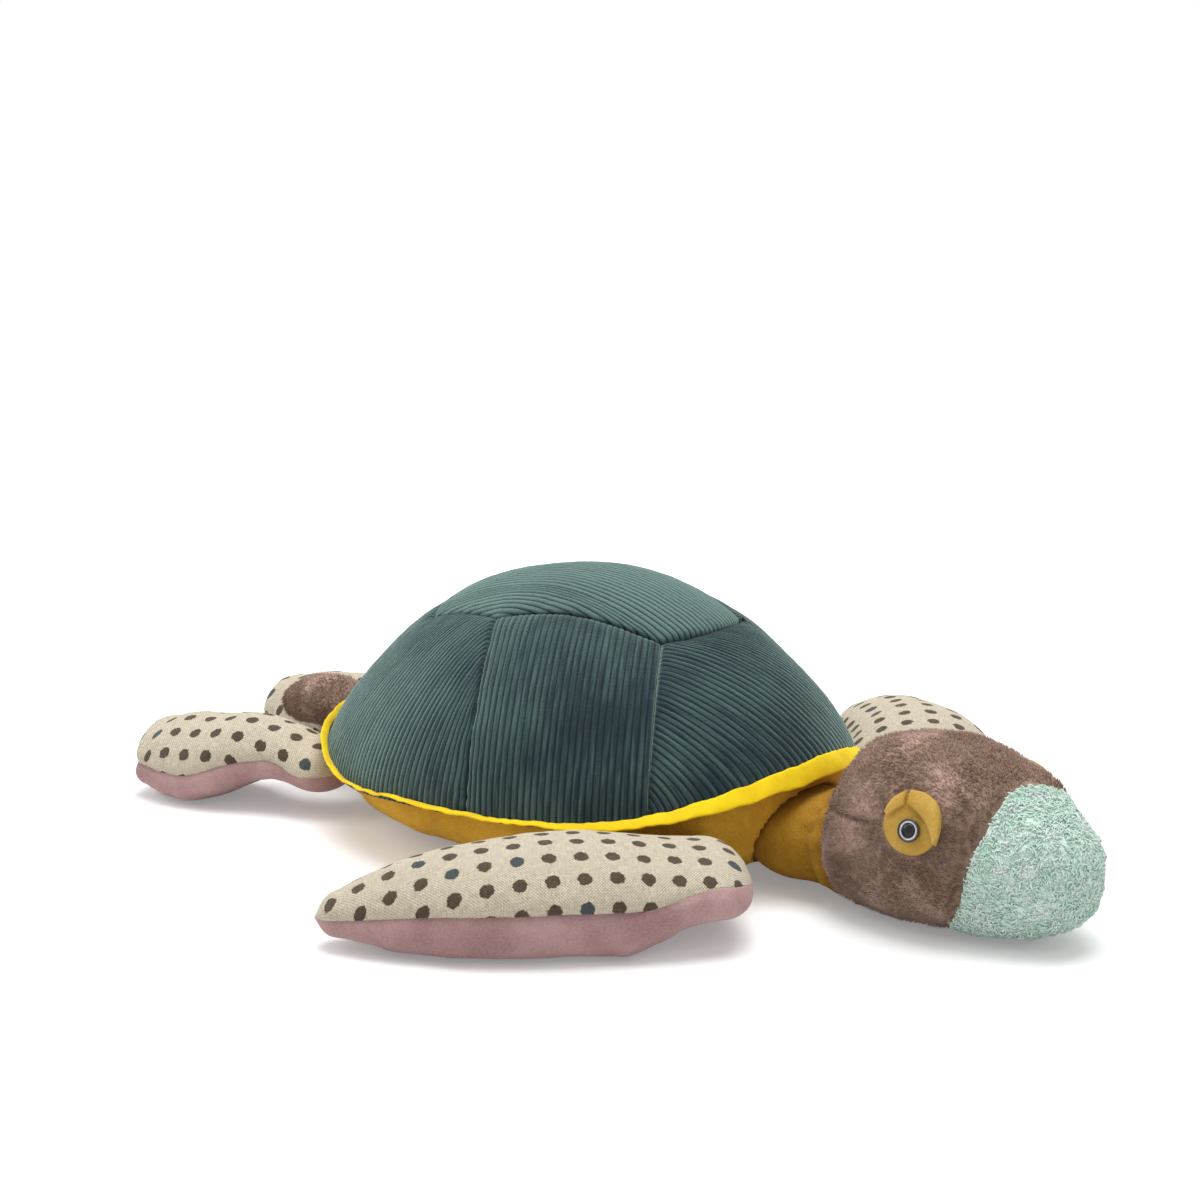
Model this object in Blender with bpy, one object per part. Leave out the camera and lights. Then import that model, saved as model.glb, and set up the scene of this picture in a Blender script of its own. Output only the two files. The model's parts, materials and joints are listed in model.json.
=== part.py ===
"""Plush sea turtle with a padded shell, a neck, a head, four flippers and a tail.

Metres, +Z up, head toward +X, standing on z = 0 with its box centred on the origin.
Every soft piece is a closed form. Its fabric covers are parts of the form's skin, given the
cloth's thickness inward, and its stuffing is the same form drawn in below the cloth.
"""
import math

import bmesh
import bpy
import numpy as np
from mathutils import Vector

# Clearances between pieces
SEAM_GAP = 0.0003
FILL_GAP = 0.0003
SOCKET_GAP = 0.0004
FLAT_CUT = 0.0005
CUT_OVERRUN = 0.0012

# Cloth thicknesses
CORDUROY = 0.0014
VELVET = 0.0012
LINEN = 0.0010
FUR_CLOTH = 0.0014
TERRY = 0.0014
FELT = 0.0012

# Shell and belly
SHELL_FRONT = 0.160
SHELL_REAR = 0.171
SHELL_HALF_WIDTH = 0.130
SHELL_EGG = 0.006
SHELL_TOP = 0.158
RIM_SIDE_HEIGHT = 0.043
RIM_FRONT_RISE = 0.022
RIM_REAR_RISE = 0.013
BELLY_INSET = 0.010
PANEL_PUFF = 0.0020

# Roundness of the dome and the belly, as powers of a sine or cosine; 1 is an ellipse
DOME_SPREAD_POWER = 0.95
DOME_SIDE_LIFT_POWER = 1.25
DOME_END_LIFT_POWER = 1.75
BELLY_SIDE_POWER = 0.90
BELLY_ROOT_POWER = 0.35
BELLY_SINK_POWER = 0.60
BELLY_ROOT_INSET_SHARE = 0.10

# Directions in which the belly fills out to a root, in degrees, and how wide each swelling is
CHEST_DIRECTION, CHEST_SPREAD = 0.0, 30.0
SHOULDER_DIRECTION, SHOULDER_SPREAD = 27.0, 10.0
HIP_DIRECTION, HIP_SPREAD = 153.0, 8.0
RUMP_DIRECTION, RUMP_SPREAD = 180.0, 6.0

# Places of the shell's seams, seen from above
TOP_SIDE_CORNER = (-0.009, 0.070)
TOP_FRONT_CORNER = (0.079, 0.046)
TOP_REAR_CORNER = (-0.082, 0.046)
TOP_END_BOW = 0.011
REAR_SEAM_RIM_X = 0.015
FRONT_SEAM_RIM = (0.113, 0.094)

# Band folded round the rim
BAND_WIDTH = 0.0100
BAND_THICK = 0.0018
BAND_WAVE = 0.0008
BAND_SHORT_WAVE_COUNT, BAND_LONG_WAVE_COUNT = 7, 3
BAND_SIDE_DEGREES = -12.0
BAND_FRONT_DEGREES = -58.0
BAND_REAR_DEGREES = 54.0
BAND_TURN_POWER = 1.5

# Neck, between a turning seam at the chest and a nodding seam at the head
NECK_SEAM_X = 0.1600
NECK_SEAM_Z = 0.0272
NECK_SEAM_RADIUS = 0.0420
NECK_SEAM_HALF_HEIGHT = 0.0250
NOD_SEAM_X = 0.1950
NOD_SEAM_Z = 0.0325
NOD_SEAM_RADIUS = 0.0285
NOD_SEAM_HALF_WIDTH = 0.0400
NECK_CAP_SHARE = 0.40
NECK_OPEN_RINGS = 1.5

# Head and muzzle; the photographed toy turns its head a little to its right
HEAD_TURN_DEGREES = -8.0
HEAD_CENTRE_X = 0.2545
HEAD_HALF_LENGTH = 0.0885
HEAD_HALF_WIDTH = 0.056
HEAD_MID_HEIGHT = 0.046
HEAD_TOP = 0.101
HEAD_BACK_X = 0.202
HEAD_BACK_GAP = 0.0020
MUZZLE_SEAM_BOTTOM_X = 0.2810
MUZZLE_SEAM_LEAN = 0.0270
MUZZLE_SEAM_LEAN_HEIGHT = 0.100
HEAD_SPREAD_POWER = 0.80
HEAD_UNDER_POWER = 0.72
HEAD_SQUARE_POWER = 0.86
HEAD_SLOPE_START_SHARE = 0.15
HEAD_NOSE_WIDTH_SHARE, HEAD_NOSE_WIDTH_POWER = 0.17, 1.6
HEAD_NOSE_TOP_SHARE, HEAD_NOSE_TOP_POWER = 0.22, 1.3
HEAD_NOSE_DROP_SHARE = 0.10

# Eyes, built on the side of the head
EYE_X = 0.2660
EYE_Z = 0.0640
EYE_PATCH_HALF_LENGTH = 0.0172
EYE_PATCH_HALF_HEIGHT = 0.0185
EYE_ON_PATCH_DROP = 0.0035
EYE_SIDE_SHARE = 0.25
LID_CLEAR = 0.00105
LID_WIDTH = 0.0066
LID_THICK = 0.0020
LID_FOLD_SHIFT = 0.0036
BEZEL_RADIUS = 0.0061
BEZEL_HEIGHT = 0.0022
BEZEL_RECESS_RADIUS = 0.0049
BEZEL_RECESS_DEPTH = 0.0010
RING_OUTER_RADIUS = 0.0046
RING_INNER_RADIUS = 0.0039
RING_HEIGHT = 0.0011
RING_CROWN = 0.0003
PUPIL_RADIUS = 0.0036
PUPIL_EDGE = 0.0007
PUPIL_RISE = 0.0024
SHANK_RADIUS = 0.0020
SHANK_LENGTH = 0.0110
WASHER_RADIUS = 0.0070
WASHER_THICK = 0.0012
WASHER_DEPTH = 0.0060
EYE_GAP = 0.0003

# Front flippers: the hinge point, the tip and the leaf's size
FRONT_HINGE_X = 0.1600
SHOULDER_INSET = 0.0255
FRONT_HINGE_Y = SHELL_HALF_WIDTH - SHOULDER_INSET
FRONT_TIP_X = 0.0200
FRONT_TIP_REACH_Y = 0.1465
FRONT_TIP_Y = FRONT_HINGE_Y + FRONT_TIP_REACH_Y
FRONT_TIP_Z = 0.0150
FRONT_HINGE_RADIUS = 0.0215
FRONT_HINGE_HALF_WIDTH = 0.0480
FRONT_HALF_WIDTH = 0.0470
FRONT_TOP_RISE = 0.0270
FRONT_SEAM_HEIGHT = 0.0265
FRONT_BOW = 0.0080

# Rear flippers
REAR_HINGE_X = -0.1540
HIP_INSET = 0.0660
REAR_HINGE_Y = SHELL_HALF_WIDTH - HIP_INSET
REAR_HINGE_RADIUS = 0.0170
REAR_HINGE_HALF_WIDTH = 0.0250
REAR_RIGHT_TIP_X = -0.2900
REAR_RIGHT_TIP_REACH_Y = 0.0180
REAR_RIGHT_TIP_Y = REAR_HINGE_Y + REAR_RIGHT_TIP_REACH_Y
REAR_LEFT_TIP_X = -0.3080
REAR_LEFT_TIP_REACH_Y = -0.0150
REAR_LEFT_TIP_Y = REAR_HINGE_Y + REAR_LEFT_TIP_REACH_Y
REAR_TIP_Z = 0.0220
REAR_HALF_WIDTH = 0.0370
REAR_TOP_RISE = 0.0270
REAR_SEAM_HEIGHT = 0.0200
REAR_BOW = 0.0030

# Tail
TAIL_HINGE_X = -0.1760
TAIL_HINGE_Z = 0.0360
TAIL_HINGE_HALF_HEIGHT = 0.0150
TAIL_HINGE_RADIUS = 0.0190
TAIL_TIP_X = -0.2430
TAIL_TIP_Z = 0.0450
TAIL_HALF_WIDTH = 0.0215
TAIL_TOP_RISE = 0.0160
TAIL_UNDER_DROP = 0.0140
TAIL_MID_HEIGHT = 0.0500
TAIL_OPEN_SHARE = 0.50

# Outlines along a limb, from its hinge to its tip, as shares of the sizes above
LEAF_STATION_SHARES = (0.0, 0.14, 0.36, 0.60, 0.80, 0.93, 1.0)
LEAF_WIDTH_SHARES = (0.97, 1.0, 1.0, 0.86, 0.57, 0.28, 0.0)
LEAF_TOP_SHARES = (0.76, 0.86, 1.0, 0.88, 0.62, 0.34, 0.0)
LEAF_UNDER_SHARES = (1.0, 1.0, 1.0, 0.98, 0.72, 0.36, 0.0)
PADDLE_STATION_SHARES = (0.0, 0.20, 0.45, 0.70, 0.86, 0.96, 1.0)
PADDLE_WIDTH_SHARES = (0.68, 0.80, 0.97, 1.0, 0.80, 0.46, 0.0)
PADDLE_TOP_SHARES = (0.74, 0.86, 1.0, 0.95, 0.74, 0.44, 0.0)
PADDLE_UNDER_SHARES = (0.90, 0.96, 1.0, 1.0, 0.78, 0.44, 0.0)
STUB_STATION_SHARES = (0.0, 0.30, 0.55, 0.80, 0.94, 1.0)
STUB_WIDTH_SHARES = (0.89, 1.0, 1.0, 0.80, 0.50, 0.0)
STUB_TOP_SHARES = (0.90, 1.0, 1.0, 0.82, 0.50, 0.0)
STUB_UNDER_SHARES = (1.0, 1.0, 1.0, 0.86, 0.50, 0.0)

# Where a limb stops being its root, where its seam settles and where it drops to the tip
LIMB_BLEND_SHARE = 0.25
LIMB_SETTLE_SHARE = 0.40
LIMB_DROP_SHARE, LIMB_DROP_POWER = 0.60, 1.5
LIMB_UNDER_POWER = 0.50

# How finely the forms are divided
SHELL_SEGMENTS = 32
SHELL_RINGS = 16
SHELL_RIM_RINGS = 9
LIMB_SEGMENTS = 14
LIMB_RINGS = 12
LIMB_ROOT_RINGS = 4
TAIL_SEGMENTS = 12
TAIL_RINGS = 9
HEAD_SEGMENTS = 20
HEAD_RINGS = 12
NECK_SEGMENTS = 20
NECK_RINGS = 10
SOCKET_SEGMENTS = 20
SOCKET_RINGS = 10
EYE_SEGMENTS = 16
LIP_SEGMENTS = 4
PUPIL_SEGMENTS = 5
EYE_DETAIL_SHARES = (1.2, 1.02)
SNAP_SHARE = 0.22
CLOSE_SHARE = 1e-6
SHARP_DEGREES = 50.0

# At a fold, how far a vertex may move for a unit of depth, and what counts as no fold
MITRE_LIMIT_SHARE = 2.5
NEARLY_FLAT_SHARE = 0.25

# Parts of a form's skin
SHELL_TOP_PART_INDEX, SHELL_REAR_PART_INDEX, SHELL_FRONT_PART_INDEX = 1, 2, 3
SHELL_LEFT_PART_INDEX, SHELL_RIGHT_PART_INDEX, BELLY_PART_INDEX = 4, 5, 6
UPPER_PART_INDEX, LOWER_PART_INDEX, OPEN_PART_INDEX = 7, 8, 9
LEFT_PART_INDEX, RIGHT_PART_INDEX, MUZZLE_PART_INDEX = 10, 11, 12
PATCH_PART_INDEX, LID_PART_INDEX, FLAP_PART_INDEX = 20, 30, 40

# The nose of the turned head and the farther rear tip end the toy; their middle is the origin
NOSE_REACH = HEAD_CENTRE_X + HEAD_HALF_LENGTH - NECK_SEAM_X
NOSE_X = NECK_SEAM_X + NOSE_REACH * math.cos(math.radians(HEAD_TURN_DEGREES))
CENTRE_X = (NOSE_X + REAR_LEFT_TIP_X) / 2


def clear_scene():
    """Removes whatever the scene holds, so the model starts empty."""
    for thing in list(bpy.data.objects):
        bpy.data.objects.remove(thing, do_unlink=True)


def material(name, colour, roughness, metallic=0.0):
    """A plain Principled material."""
    made = bpy.data.materials.new(name)
    made.use_nodes = True
    made.diffuse_color = (*colour, 1.0)
    shader = made.node_tree.nodes["Principled BSDF"]
    shader.inputs["Base Color"].default_value = (*colour, 1.0)
    shader.inputs["Roughness"].default_value = roughness
    shader.inputs["Metallic"].default_value = metallic
    return made


def between(stations, shares, at):
    """Reads a smooth curve through shares at stations."""
    for k in range(len(stations) - 1):
        if at <= stations[k + 1]:
            run = (at - stations[k]) / (stations[k + 1] - stations[k])
            run = max(0.0, min(1.0, run))
            before = shares[max(k - 1, 0)]
            after = shares[min(k + 2, len(shares) - 1)]
            start, end = shares[k], shares[k + 1]
            slope_in = (end - before) / 2
            slope_out = (after - start) / 2
            cubic = 2 * run ** 3 - 3 * run ** 2 + 1
            return (cubic * start + (run ** 3 - 2 * run ** 2 + run) * slope_in
                    + (1 - cubic) * end + (run ** 3 - run ** 2) * slope_out)
    return shares[-1]


def drawn_in(vert):
    """The move that takes a vertex a unit deep, square to all the faces around it."""
    normals = [face.normal for face in vert.link_faces]
    weights = [math.sqrt(face.calc_area()) for face in vert.link_faces]
    rows = np.array([[c * w for c in n] for n, w in zip(normals, weights)])
    goal = -np.array(weights)
    move = Vector(np.linalg.lstsq(rows, goal, rcond=NEARLY_FLAT_SHARE)[0])
    if move.length > MITRE_LIMIT_SHARE:
        move = move.normalized() * MITRE_LIMIT_SHARE
    return move


def store_inward(form):
    """Keeps each vertex's inward move with the form, so that cuts made later share it."""
    form.normal_update()
    moves = [drawn_in(vert) for vert in form.verts]
    layer = form.verts.layers.float_vector.get("inward")
    layer = layer or form.verts.layers.float_vector.new("inward")
    for vert, move in zip(form.verts, moves):
        vert[layer] = move


def unit_sphere(segments, rings):
    """A unit sphere whose faces lie in the same order every time it is made."""
    loose = bmesh.new()
    bmesh.ops.create_uvsphere(loose, u_segments=segments, v_segments=rings, radius=1.0)
    loose.verts.index_update()
    outlines = []
    for face in loose.faces:
        outline = [vert.index for vert in face.verts]
        first = outline.index(min(outline))
        outlines.append(outline[first:] + outline[:first])
    form = bmesh.new()
    verts = [form.verts.new(vert.co) for vert in loose.verts]
    for outline in sorted(outlines):
        form.faces.new([verts[index] for index in outline])
    loose.free()
    return form


def new_form(segments, rings, place, part_of):
    """A sphere's mesh whose vertices go where place(share from pole to pole, angle) says."""
    form = unit_sphere(segments, rings)
    part = form.faces.layers.int.new("part")

    def share_of(co):
        return math.acos(max(-1.0, min(1.0, co.z))) / math.pi

    for face in form.faces:
        middle = face.calc_center_median()
        face[part] = part_of(share_of(middle.normalized()), math.atan2(middle.y, middle.x))
    for vert in form.verts:
        ring = round(share_of(vert.co) * rings) / rings
        vert.co = place(ring, math.atan2(vert.co.y, vert.co.x))
    bmesh.ops.triangulate(form, faces=form.faces[:])
    bmesh.ops.recalc_face_normals(form, faces=form.faces[:])
    return form


def cut_flat(form, point, normal, part_number):
    """Cuts away what lies past a plane and closes the cut with a flat face."""
    geometry = form.verts[:] + form.edges[:] + form.faces[:]
    bmesh.ops.bisect_plane(form, geom=geometry, dist=FLAT_CUT / 50, plane_co=point,
                           plane_no=normal, clear_outer=True)
    border = [edge for edge in form.edges if edge.is_boundary]
    if not border:
        return
    filled = bmesh.ops.holes_fill(form, edges=border, sides=0)["faces"]
    part = form.faces.layers.int["part"]
    for face in filled:
        face[part] = part_number
    bmesh.ops.triangulate(form, faces=form.faces[:])
    bmesh.ops.recalc_face_normals(form, faces=form.faces[:])


def split_along(form, field, old_part, new_part):
    """Runs a seam where field is zero and gives its positive side of old_part a new number."""
    part = form.faces.layers.int["part"]
    fixed = form.verts.layers.int.get("fixed") or form.verts.layers.int.new("fixed")
    values = {vert: field(vert.co) for vert in form.verts}

    def crossed():
        for edge in form.edges[:]:
            first, second = edge.verts
            touches = any(face[part] == old_part for face in edge.link_faces)
            if touches and values[first] * values[second] < 0:
                yield edge, first, second, values[first] / (values[first] - values[second])

    for edge, first, second, run in crossed():
        if values[first] * values[second] >= 0:
            continue
        near, far = (first, second) if run < 0.5 else (second, first)
        if min(run, 1 - run) < SNAP_SHARE:
            if not near[fixed]:
                near.co = near.co.lerp(far.co, min(run, 1 - run))
            values[near] = 0.0
    for edge, first, second, run in list(crossed()):
        vert = bmesh.utils.edge_split(edge, first, run)[1]
        values[vert] = 0.0
    seam = [vert for vert, value in values.items() if value == 0.0]
    bmesh.ops.connect_verts(form, verts=seam, check_degenerate=True)
    bmesh.ops.triangulate(form, faces=form.faces[:])
    for vert in seam:
        vert[fixed] = 1
    for face in form.faces:
        if face[part] == old_part and sum(values[vert] for vert in face.verts) > 0:
            face[part] = new_part


def cover_mesh(form, parts, top, under):
    """Cloth over some parts of a form, from depth top to depth under, closed all round."""
    cloth = form.copy()
    part = cloth.faces.layers.int["part"]
    inward = cloth.verts.layers.float_vector["inward"]
    spare = [face for face in cloth.faces if face[part] not in parts]
    bmesh.ops.delete(cloth, geom=spare, context="FACES")
    cloth.normal_update()
    aside = {}
    for edge in cloth.edges:
        if edge.is_boundary:
            face = edge.link_faces[0]
            first, second = edge.verts
            side = (second.co - first.co).cross(face.normal)
            if side.dot(face.calc_center_median() - first.co) < 0:
                side.negate()
            for vert in edge.verts:
                aside[vert] = aside.get(vert, Vector()) + side.normalized()
    for vert, side in aside.items():
        vert.co += side.normalized() * SEAM_GAP * 0.5
    for vert in cloth.verts:
        vert.co += vert[inward] * top
    made = bmesh.ops.extrude_face_region(cloth, geom=cloth.faces[:], use_keep_orig=True)
    for vert in made["geom"]:
        if isinstance(vert, bmesh.types.BMVert):
            vert.co += vert[inward] * (under - top)
    bmesh.ops.recalc_face_normals(cloth, faces=cloth.faces[:])
    return cloth


def fill_mesh(form, depth):
    """The form drawn in by depth, for the stuffing."""
    fill = form.copy()
    inward = fill.verts.layers.float_vector["inward"]
    for vert in fill.verts:
        vert.co += vert[inward] * depth
    return fill


def add_object(name, mesh_data, joint, look, smooth=True):
    """Makes a node from world coordinates, with its origin on its joint's empty."""
    mesh = bpy.data.meshes.new(name)
    bmesh.ops.translate(mesh_data, verts=mesh_data.verts[:], vec=-Vector(joint["design"]))
    mesh_data.to_mesh(mesh)
    mesh_data.free()
    if smooth:
        mesh.shade_smooth()
        mesh.set_sharp_from_angle(angle=math.radians(SHARP_DEGREES))
    mesh.materials.append(look)
    made = bpy.data.objects.new(name, mesh)
    bpy.context.collection.objects.link(made)
    made.parent = joint
    return made


def joint_empty(name, place, parent=None):
    """An empty on a joint's axis, which carries the pieces that turn there."""
    empty = bpy.data.objects.new(name, None)
    bpy.context.collection.objects.link(empty)
    empty.parent = parent
    origin = Vector(parent["design"]) if parent else Vector((0.0, 0.0, 0.0))
    empty.location = Vector(place) - origin
    empty["design"] = list(place)
    return empty


def carve(target, cutter):
    """Takes a cutter's space out of a piece."""
    change = target.modifiers.new(cutter.name, "BOOLEAN")
    change.operation = "DIFFERENCE"
    change.solver = "EXACT"
    change.object = cutter


def socket_cutter(name, centre, radii, pole, across, joint):
    """A hidden ellipsoid, turned about pole, that clears a rounded root by the socket gap."""
    outside = 1.0 / math.cos(math.pi / SOCKET_SEGMENTS)
    shape = unit_sphere(SOCKET_SEGMENTS, SOCKET_RINGS)
    bmesh.ops.recalc_face_normals(shape, faces=shape.faces[:])
    grown = [(radius + SOCKET_GAP) * outside for radius in radii]
    pole, across = Vector(pole).normalized(), Vector(across).normalized()
    third = pole.cross(across)
    for vert in shape.verts:
        local = vert.co.copy()
        vert.co = (across * local.x * grown[0] + third * local.y * grown[0]
                   + pole * local.z * grown[1])
    mesh = bpy.data.meshes.new(name)
    shape.to_mesh(mesh)
    shape.free()
    cutter = bpy.data.objects.new(name, mesh)
    bpy.context.collection.objects.link(cutter)
    cutter.parent = joint
    cutter.location = Vector(centre) - Vector(joint["design"])
    cutter.hide_render = True
    cutter.display_type = "WIRE"
    return cutter


def rim_height(angle):
    """Height of the shell's rim: low at the sides, raised over the neck and the tail."""
    ahead = max(0.0, math.cos(angle)) ** 2
    behind = max(0.0, -math.cos(angle)) ** 3
    return RIM_SIDE_HEIGHT + RIM_FRONT_RISE * ahead + RIM_REAR_RISE * behind


def rim_point(angle, inset=0.0):
    """A point of the rim's outline in plan, drawn in by inset."""
    length = SHELL_FRONT if math.cos(angle) > 0 else SHELL_REAR
    width = SHELL_HALF_WIDTH + SHELL_EGG * math.cos(angle)
    return Vector(((length - inset) * math.cos(angle) - CENTRE_X,
                   (width - inset) * math.sin(angle), rim_height(angle)))


def fullness(angle):
    """How far the belly fills out under the rim, from 0 at the sides to 1 at each root."""
    turned = math.degrees(math.acos(max(-1.0, min(1.0, math.cos(angle)))))
    swellings = ((CHEST_DIRECTION, CHEST_SPREAD), (SHOULDER_DIRECTION, SHOULDER_SPREAD),
                 (HIP_DIRECTION, HIP_SPREAD), (RUMP_DIRECTION, RUMP_SPREAD))
    total = 0.0
    for direction, spread in swellings:
        total += math.exp(-((turned - direction) / spread) ** 2)
    return min(1.0, total)


def torso_place(share, angle):
    """The torso's skin: a dome to the rim, a small ledge under it, then the belly."""
    rim_share = SHELL_RIM_RINGS / SHELL_RINGS
    ledge_share = (SHELL_RIM_RINGS + 1) / SHELL_RINGS
    middle = Vector((-CENTRE_X, 0.0, 0.0))
    if share <= rim_share + CLOSE_SHARE:
        rise = math.pi / 2 * (1 - share / rim_share)
        spread = max(math.cos(rise), 0.0) ** DOME_SPREAD_POWER
        toward_end = math.cos(angle) ** 2
        lift_power = (DOME_SIDE_LIFT_POWER
                      + (DOME_END_LIFT_POWER - DOME_SIDE_LIFT_POWER) * toward_end)
        lift = math.sin(rise) ** lift_power
        edge = rim_point(angle)
        flat = (edge - middle) * spread
        height = edge.z + (SHELL_TOP - edge.z) * lift
        return Vector((middle.x + flat.x, flat.y, height))
    full = fullness(angle)
    edge = rim_point(angle, BELLY_INSET * (1 + (BELLY_ROOT_INSET_SHARE - 1) * full))
    sink = math.pi / 2 * (share - ledge_share) / (1 - ledge_share)
    spread_power = BELLY_SIDE_POWER + (BELLY_ROOT_POWER - BELLY_SIDE_POWER) * full
    spread = max(math.cos(sink), 0.0) ** spread_power
    height = edge.z - (edge.z + FLAT_CUT) * math.sin(sink) ** BELLY_SINK_POWER
    flat = (edge - middle) * spread
    return Vector((middle.x + flat.x, flat.y, height))


def torso_part(share, angle):
    """Belly below the rim ring, shell above it."""
    return SHELL_TOP_PART_INDEX if share < SHELL_RIM_RINGS / SHELL_RINGS else BELLY_PART_INDEX


def top_seam(co):
    """Positive outside the top panel's six-sided outline."""
    x, y = co.x + CENTRE_X, abs(co.y)
    edges = []
    side_x, side_y = TOP_SIDE_CORNER
    for end_x, end_y in (TOP_FRONT_CORNER, TOP_REAR_CORNER):
        edges.append(y - (side_y + (end_y - side_y) * (x - side_x) / (end_x - side_x)))
        way = math.copysign(1.0, end_x)
        edges.append(way * (x - end_x) - TOP_END_BOW * (1 - (y / end_y) ** 2))
    return max(edges)


def cross_seam(co, corner, rim_x, rim_y):
    """Positive ahead of the seam that runs from a top corner down to the rim."""
    corner_x, corner_y = corner
    run = (abs(co.y) - corner_y) / (rim_y - corner_y)
    return co.x + CENTRE_X - (corner_x + (rim_x - corner_x) * run)


def puff(form):
    """Lets each shell panel swell between its seams."""
    store_inward(form)
    inward = form.verts.layers.float_vector["inward"]
    fixed = form.verts.layers.int["fixed"]
    part = form.faces.layers.int["part"]
    for vert in form.verts:
        on_rim = any(face[part] == BELLY_PART_INDEX for face in vert.link_faces)
        if vert[fixed] and not on_rim:
            vert.co += vert[inward] * PANEL_PUFF


def torso_form():
    """The torso's skin with its seams."""
    form = new_form(SHELL_SEGMENTS, SHELL_RINGS, torso_place, torso_part)
    split_along(form, top_seam, SHELL_TOP_PART_INDEX, SHELL_REAR_PART_INDEX)

    def rear_seam(co):
        return cross_seam(co, TOP_SIDE_CORNER, REAR_SEAM_RIM_X, SHELL_HALF_WIDTH)

    def front_seam(co):
        return cross_seam(co, TOP_FRONT_CORNER, *FRONT_SEAM_RIM)

    split_along(form, rear_seam, SHELL_REAR_PART_INDEX, SHELL_RIGHT_PART_INDEX)
    split_along(form, front_seam, SHELL_RIGHT_PART_INDEX, SHELL_FRONT_PART_INDEX)
    part = form.faces.layers.int["part"]
    for face in form.faces:
        if face[part] == SHELL_RIGHT_PART_INDEX and face.calc_center_median().y > 0:
            face[part] = SHELL_LEFT_PART_INDEX
    puff(form)
    cut_flat(form, (0, 0, 0), (0, 0, -1), BELLY_PART_INDEX)
    store_inward(form)
    return form


def make_band(joint, look):
    """A folded band round the rim: flat out at the sides, hanging in front, raised behind."""
    band = bmesh.new()
    steps = SHELL_SEGMENTS * 2
    step = 2 * math.pi / steps
    rows = []
    for k in range(steps):
        angle = step * k
        ahead = max(0.0, math.cos(angle))
        behind = max(0.0, -math.cos(angle))
        tilt = math.radians(
            BAND_SIDE_DEGREES
            + (BAND_FRONT_DEGREES - BAND_SIDE_DEGREES) * ahead ** BAND_TURN_POWER
            + (BAND_REAR_DEGREES - BAND_SIDE_DEGREES) * behind ** BAND_TURN_POWER)
        wave = (math.sin(BAND_SHORT_WAVE_COUNT * angle)
                * math.sin(BAND_LONG_WAVE_COUNT * angle))
        base = rim_point(angle)
        nearby = rim_point(angle + step / 2) - rim_point(angle - step / 2)
        outward = Vector((nearby.y, -nearby.x, 0.0)).normalized()
        along = outward * math.cos(tilt) + Vector((0, 0, math.sin(tilt)))
        across = Vector((0, 0, math.cos(tilt))) - outward * math.sin(tilt)
        clear = SEAM_GAP * 1.5 + BAND_THICK * 0.5 * abs(math.sin(tilt))
        start = base + outward * clear + Vector((0, 0, BAND_WAVE * wave))
        corners = []
        for width_share, thick_share in ((0, -0.5), (1, -0.5), (1, 0.5), (0, 0.5)):
            corners.append(band.verts.new(start + along * BAND_WIDTH * width_share
                                          + across * BAND_THICK * thick_share))
        rows.append(corners)
    for k in range(steps):
        near, far = rows[k], rows[(k + 1) % steps]
        for c in range(4):
            d = (c + 1) % 4
            band.faces.new((near[c], near[d], far[d], far[c]))
    bmesh.ops.triangulate(band, faces=band.faces[:])
    bmesh.ops.recalc_face_normals(band, faces=band.faces[:])
    return add_object("rim_band", band, joint, look)


def limb_form(hinge, tip, root, sizes, outline, segments, rings, bow):
    """A stuffed limb: a root rounded about its hinge axis, then an outline out to its tip."""
    reach_back, half_width, half_height = root
    stations, widths, tops, unders = outline
    wide, rise, seam_height, drop = sizes
    reach = Vector((tip.x - hinge.x, tip.y - hinge.y, 0.0))
    length = reach.length
    along = reach.normalized()
    axis = Vector((0, 0, 1)).cross(along)
    up = Vector((0, 0, 1))
    root_share = LIMB_ROOT_RINGS / rings

    def place(share, angle):
        side, lift = math.cos(angle), math.sin(angle)
        if share <= root_share + CLOSE_SHARE:
            turn = math.pi / 2 * share / root_share
            return (hinge - along * reach_back * math.cos(turn)
                    + axis * half_width * math.sin(turn) * side
                    + up * half_height * math.sin(turn) * lift)
        at = (share - root_share) / (1 - root_share)
        seam = hinge.z + (seam_height - hinge.z) * min(1.0, at / LIMB_SETTLE_SHARE)
        if at > LIMB_DROP_SHARE:
            dropping = (at - LIMB_DROP_SHARE) / (1 - LIMB_DROP_SHARE)
            seam = seam_height + (tip.z - seam_height) * dropping ** LIMB_DROP_POWER
        blend = min(1.0, at / LIMB_BLEND_SHARE)
        width = wide * between(stations, widths, at)
        high = rise * between(stations, tops, at)
        low = drop * between(stations, unders, at)
        width = half_width + (width - half_width) * blend
        high = half_height + (high - half_height) * blend
        low = half_height + (low - half_height) * blend
        full = 1 + (LIMB_UNDER_POWER - 1) * blend if lift < 0 else 1
        height = high * lift if lift > 0 else -low * abs(lift) ** full
        across = math.copysign(abs(side) ** full, side)
        sway = bow * 4 * at * (1 - at)
        return (hinge + along * length * at + axis * (width * across + sway)
                + up * (seam - hinge.z + height))

    def part_of(share, angle):
        return UPPER_PART_INDEX if angle > 0 else LOWER_PART_INDEX

    form = new_form(segments, rings, place, part_of)
    cut_flat(form, (0, 0, 0), (0, 0, -1), LOWER_PART_INDEX)
    store_inward(form)
    return form, axis


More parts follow.
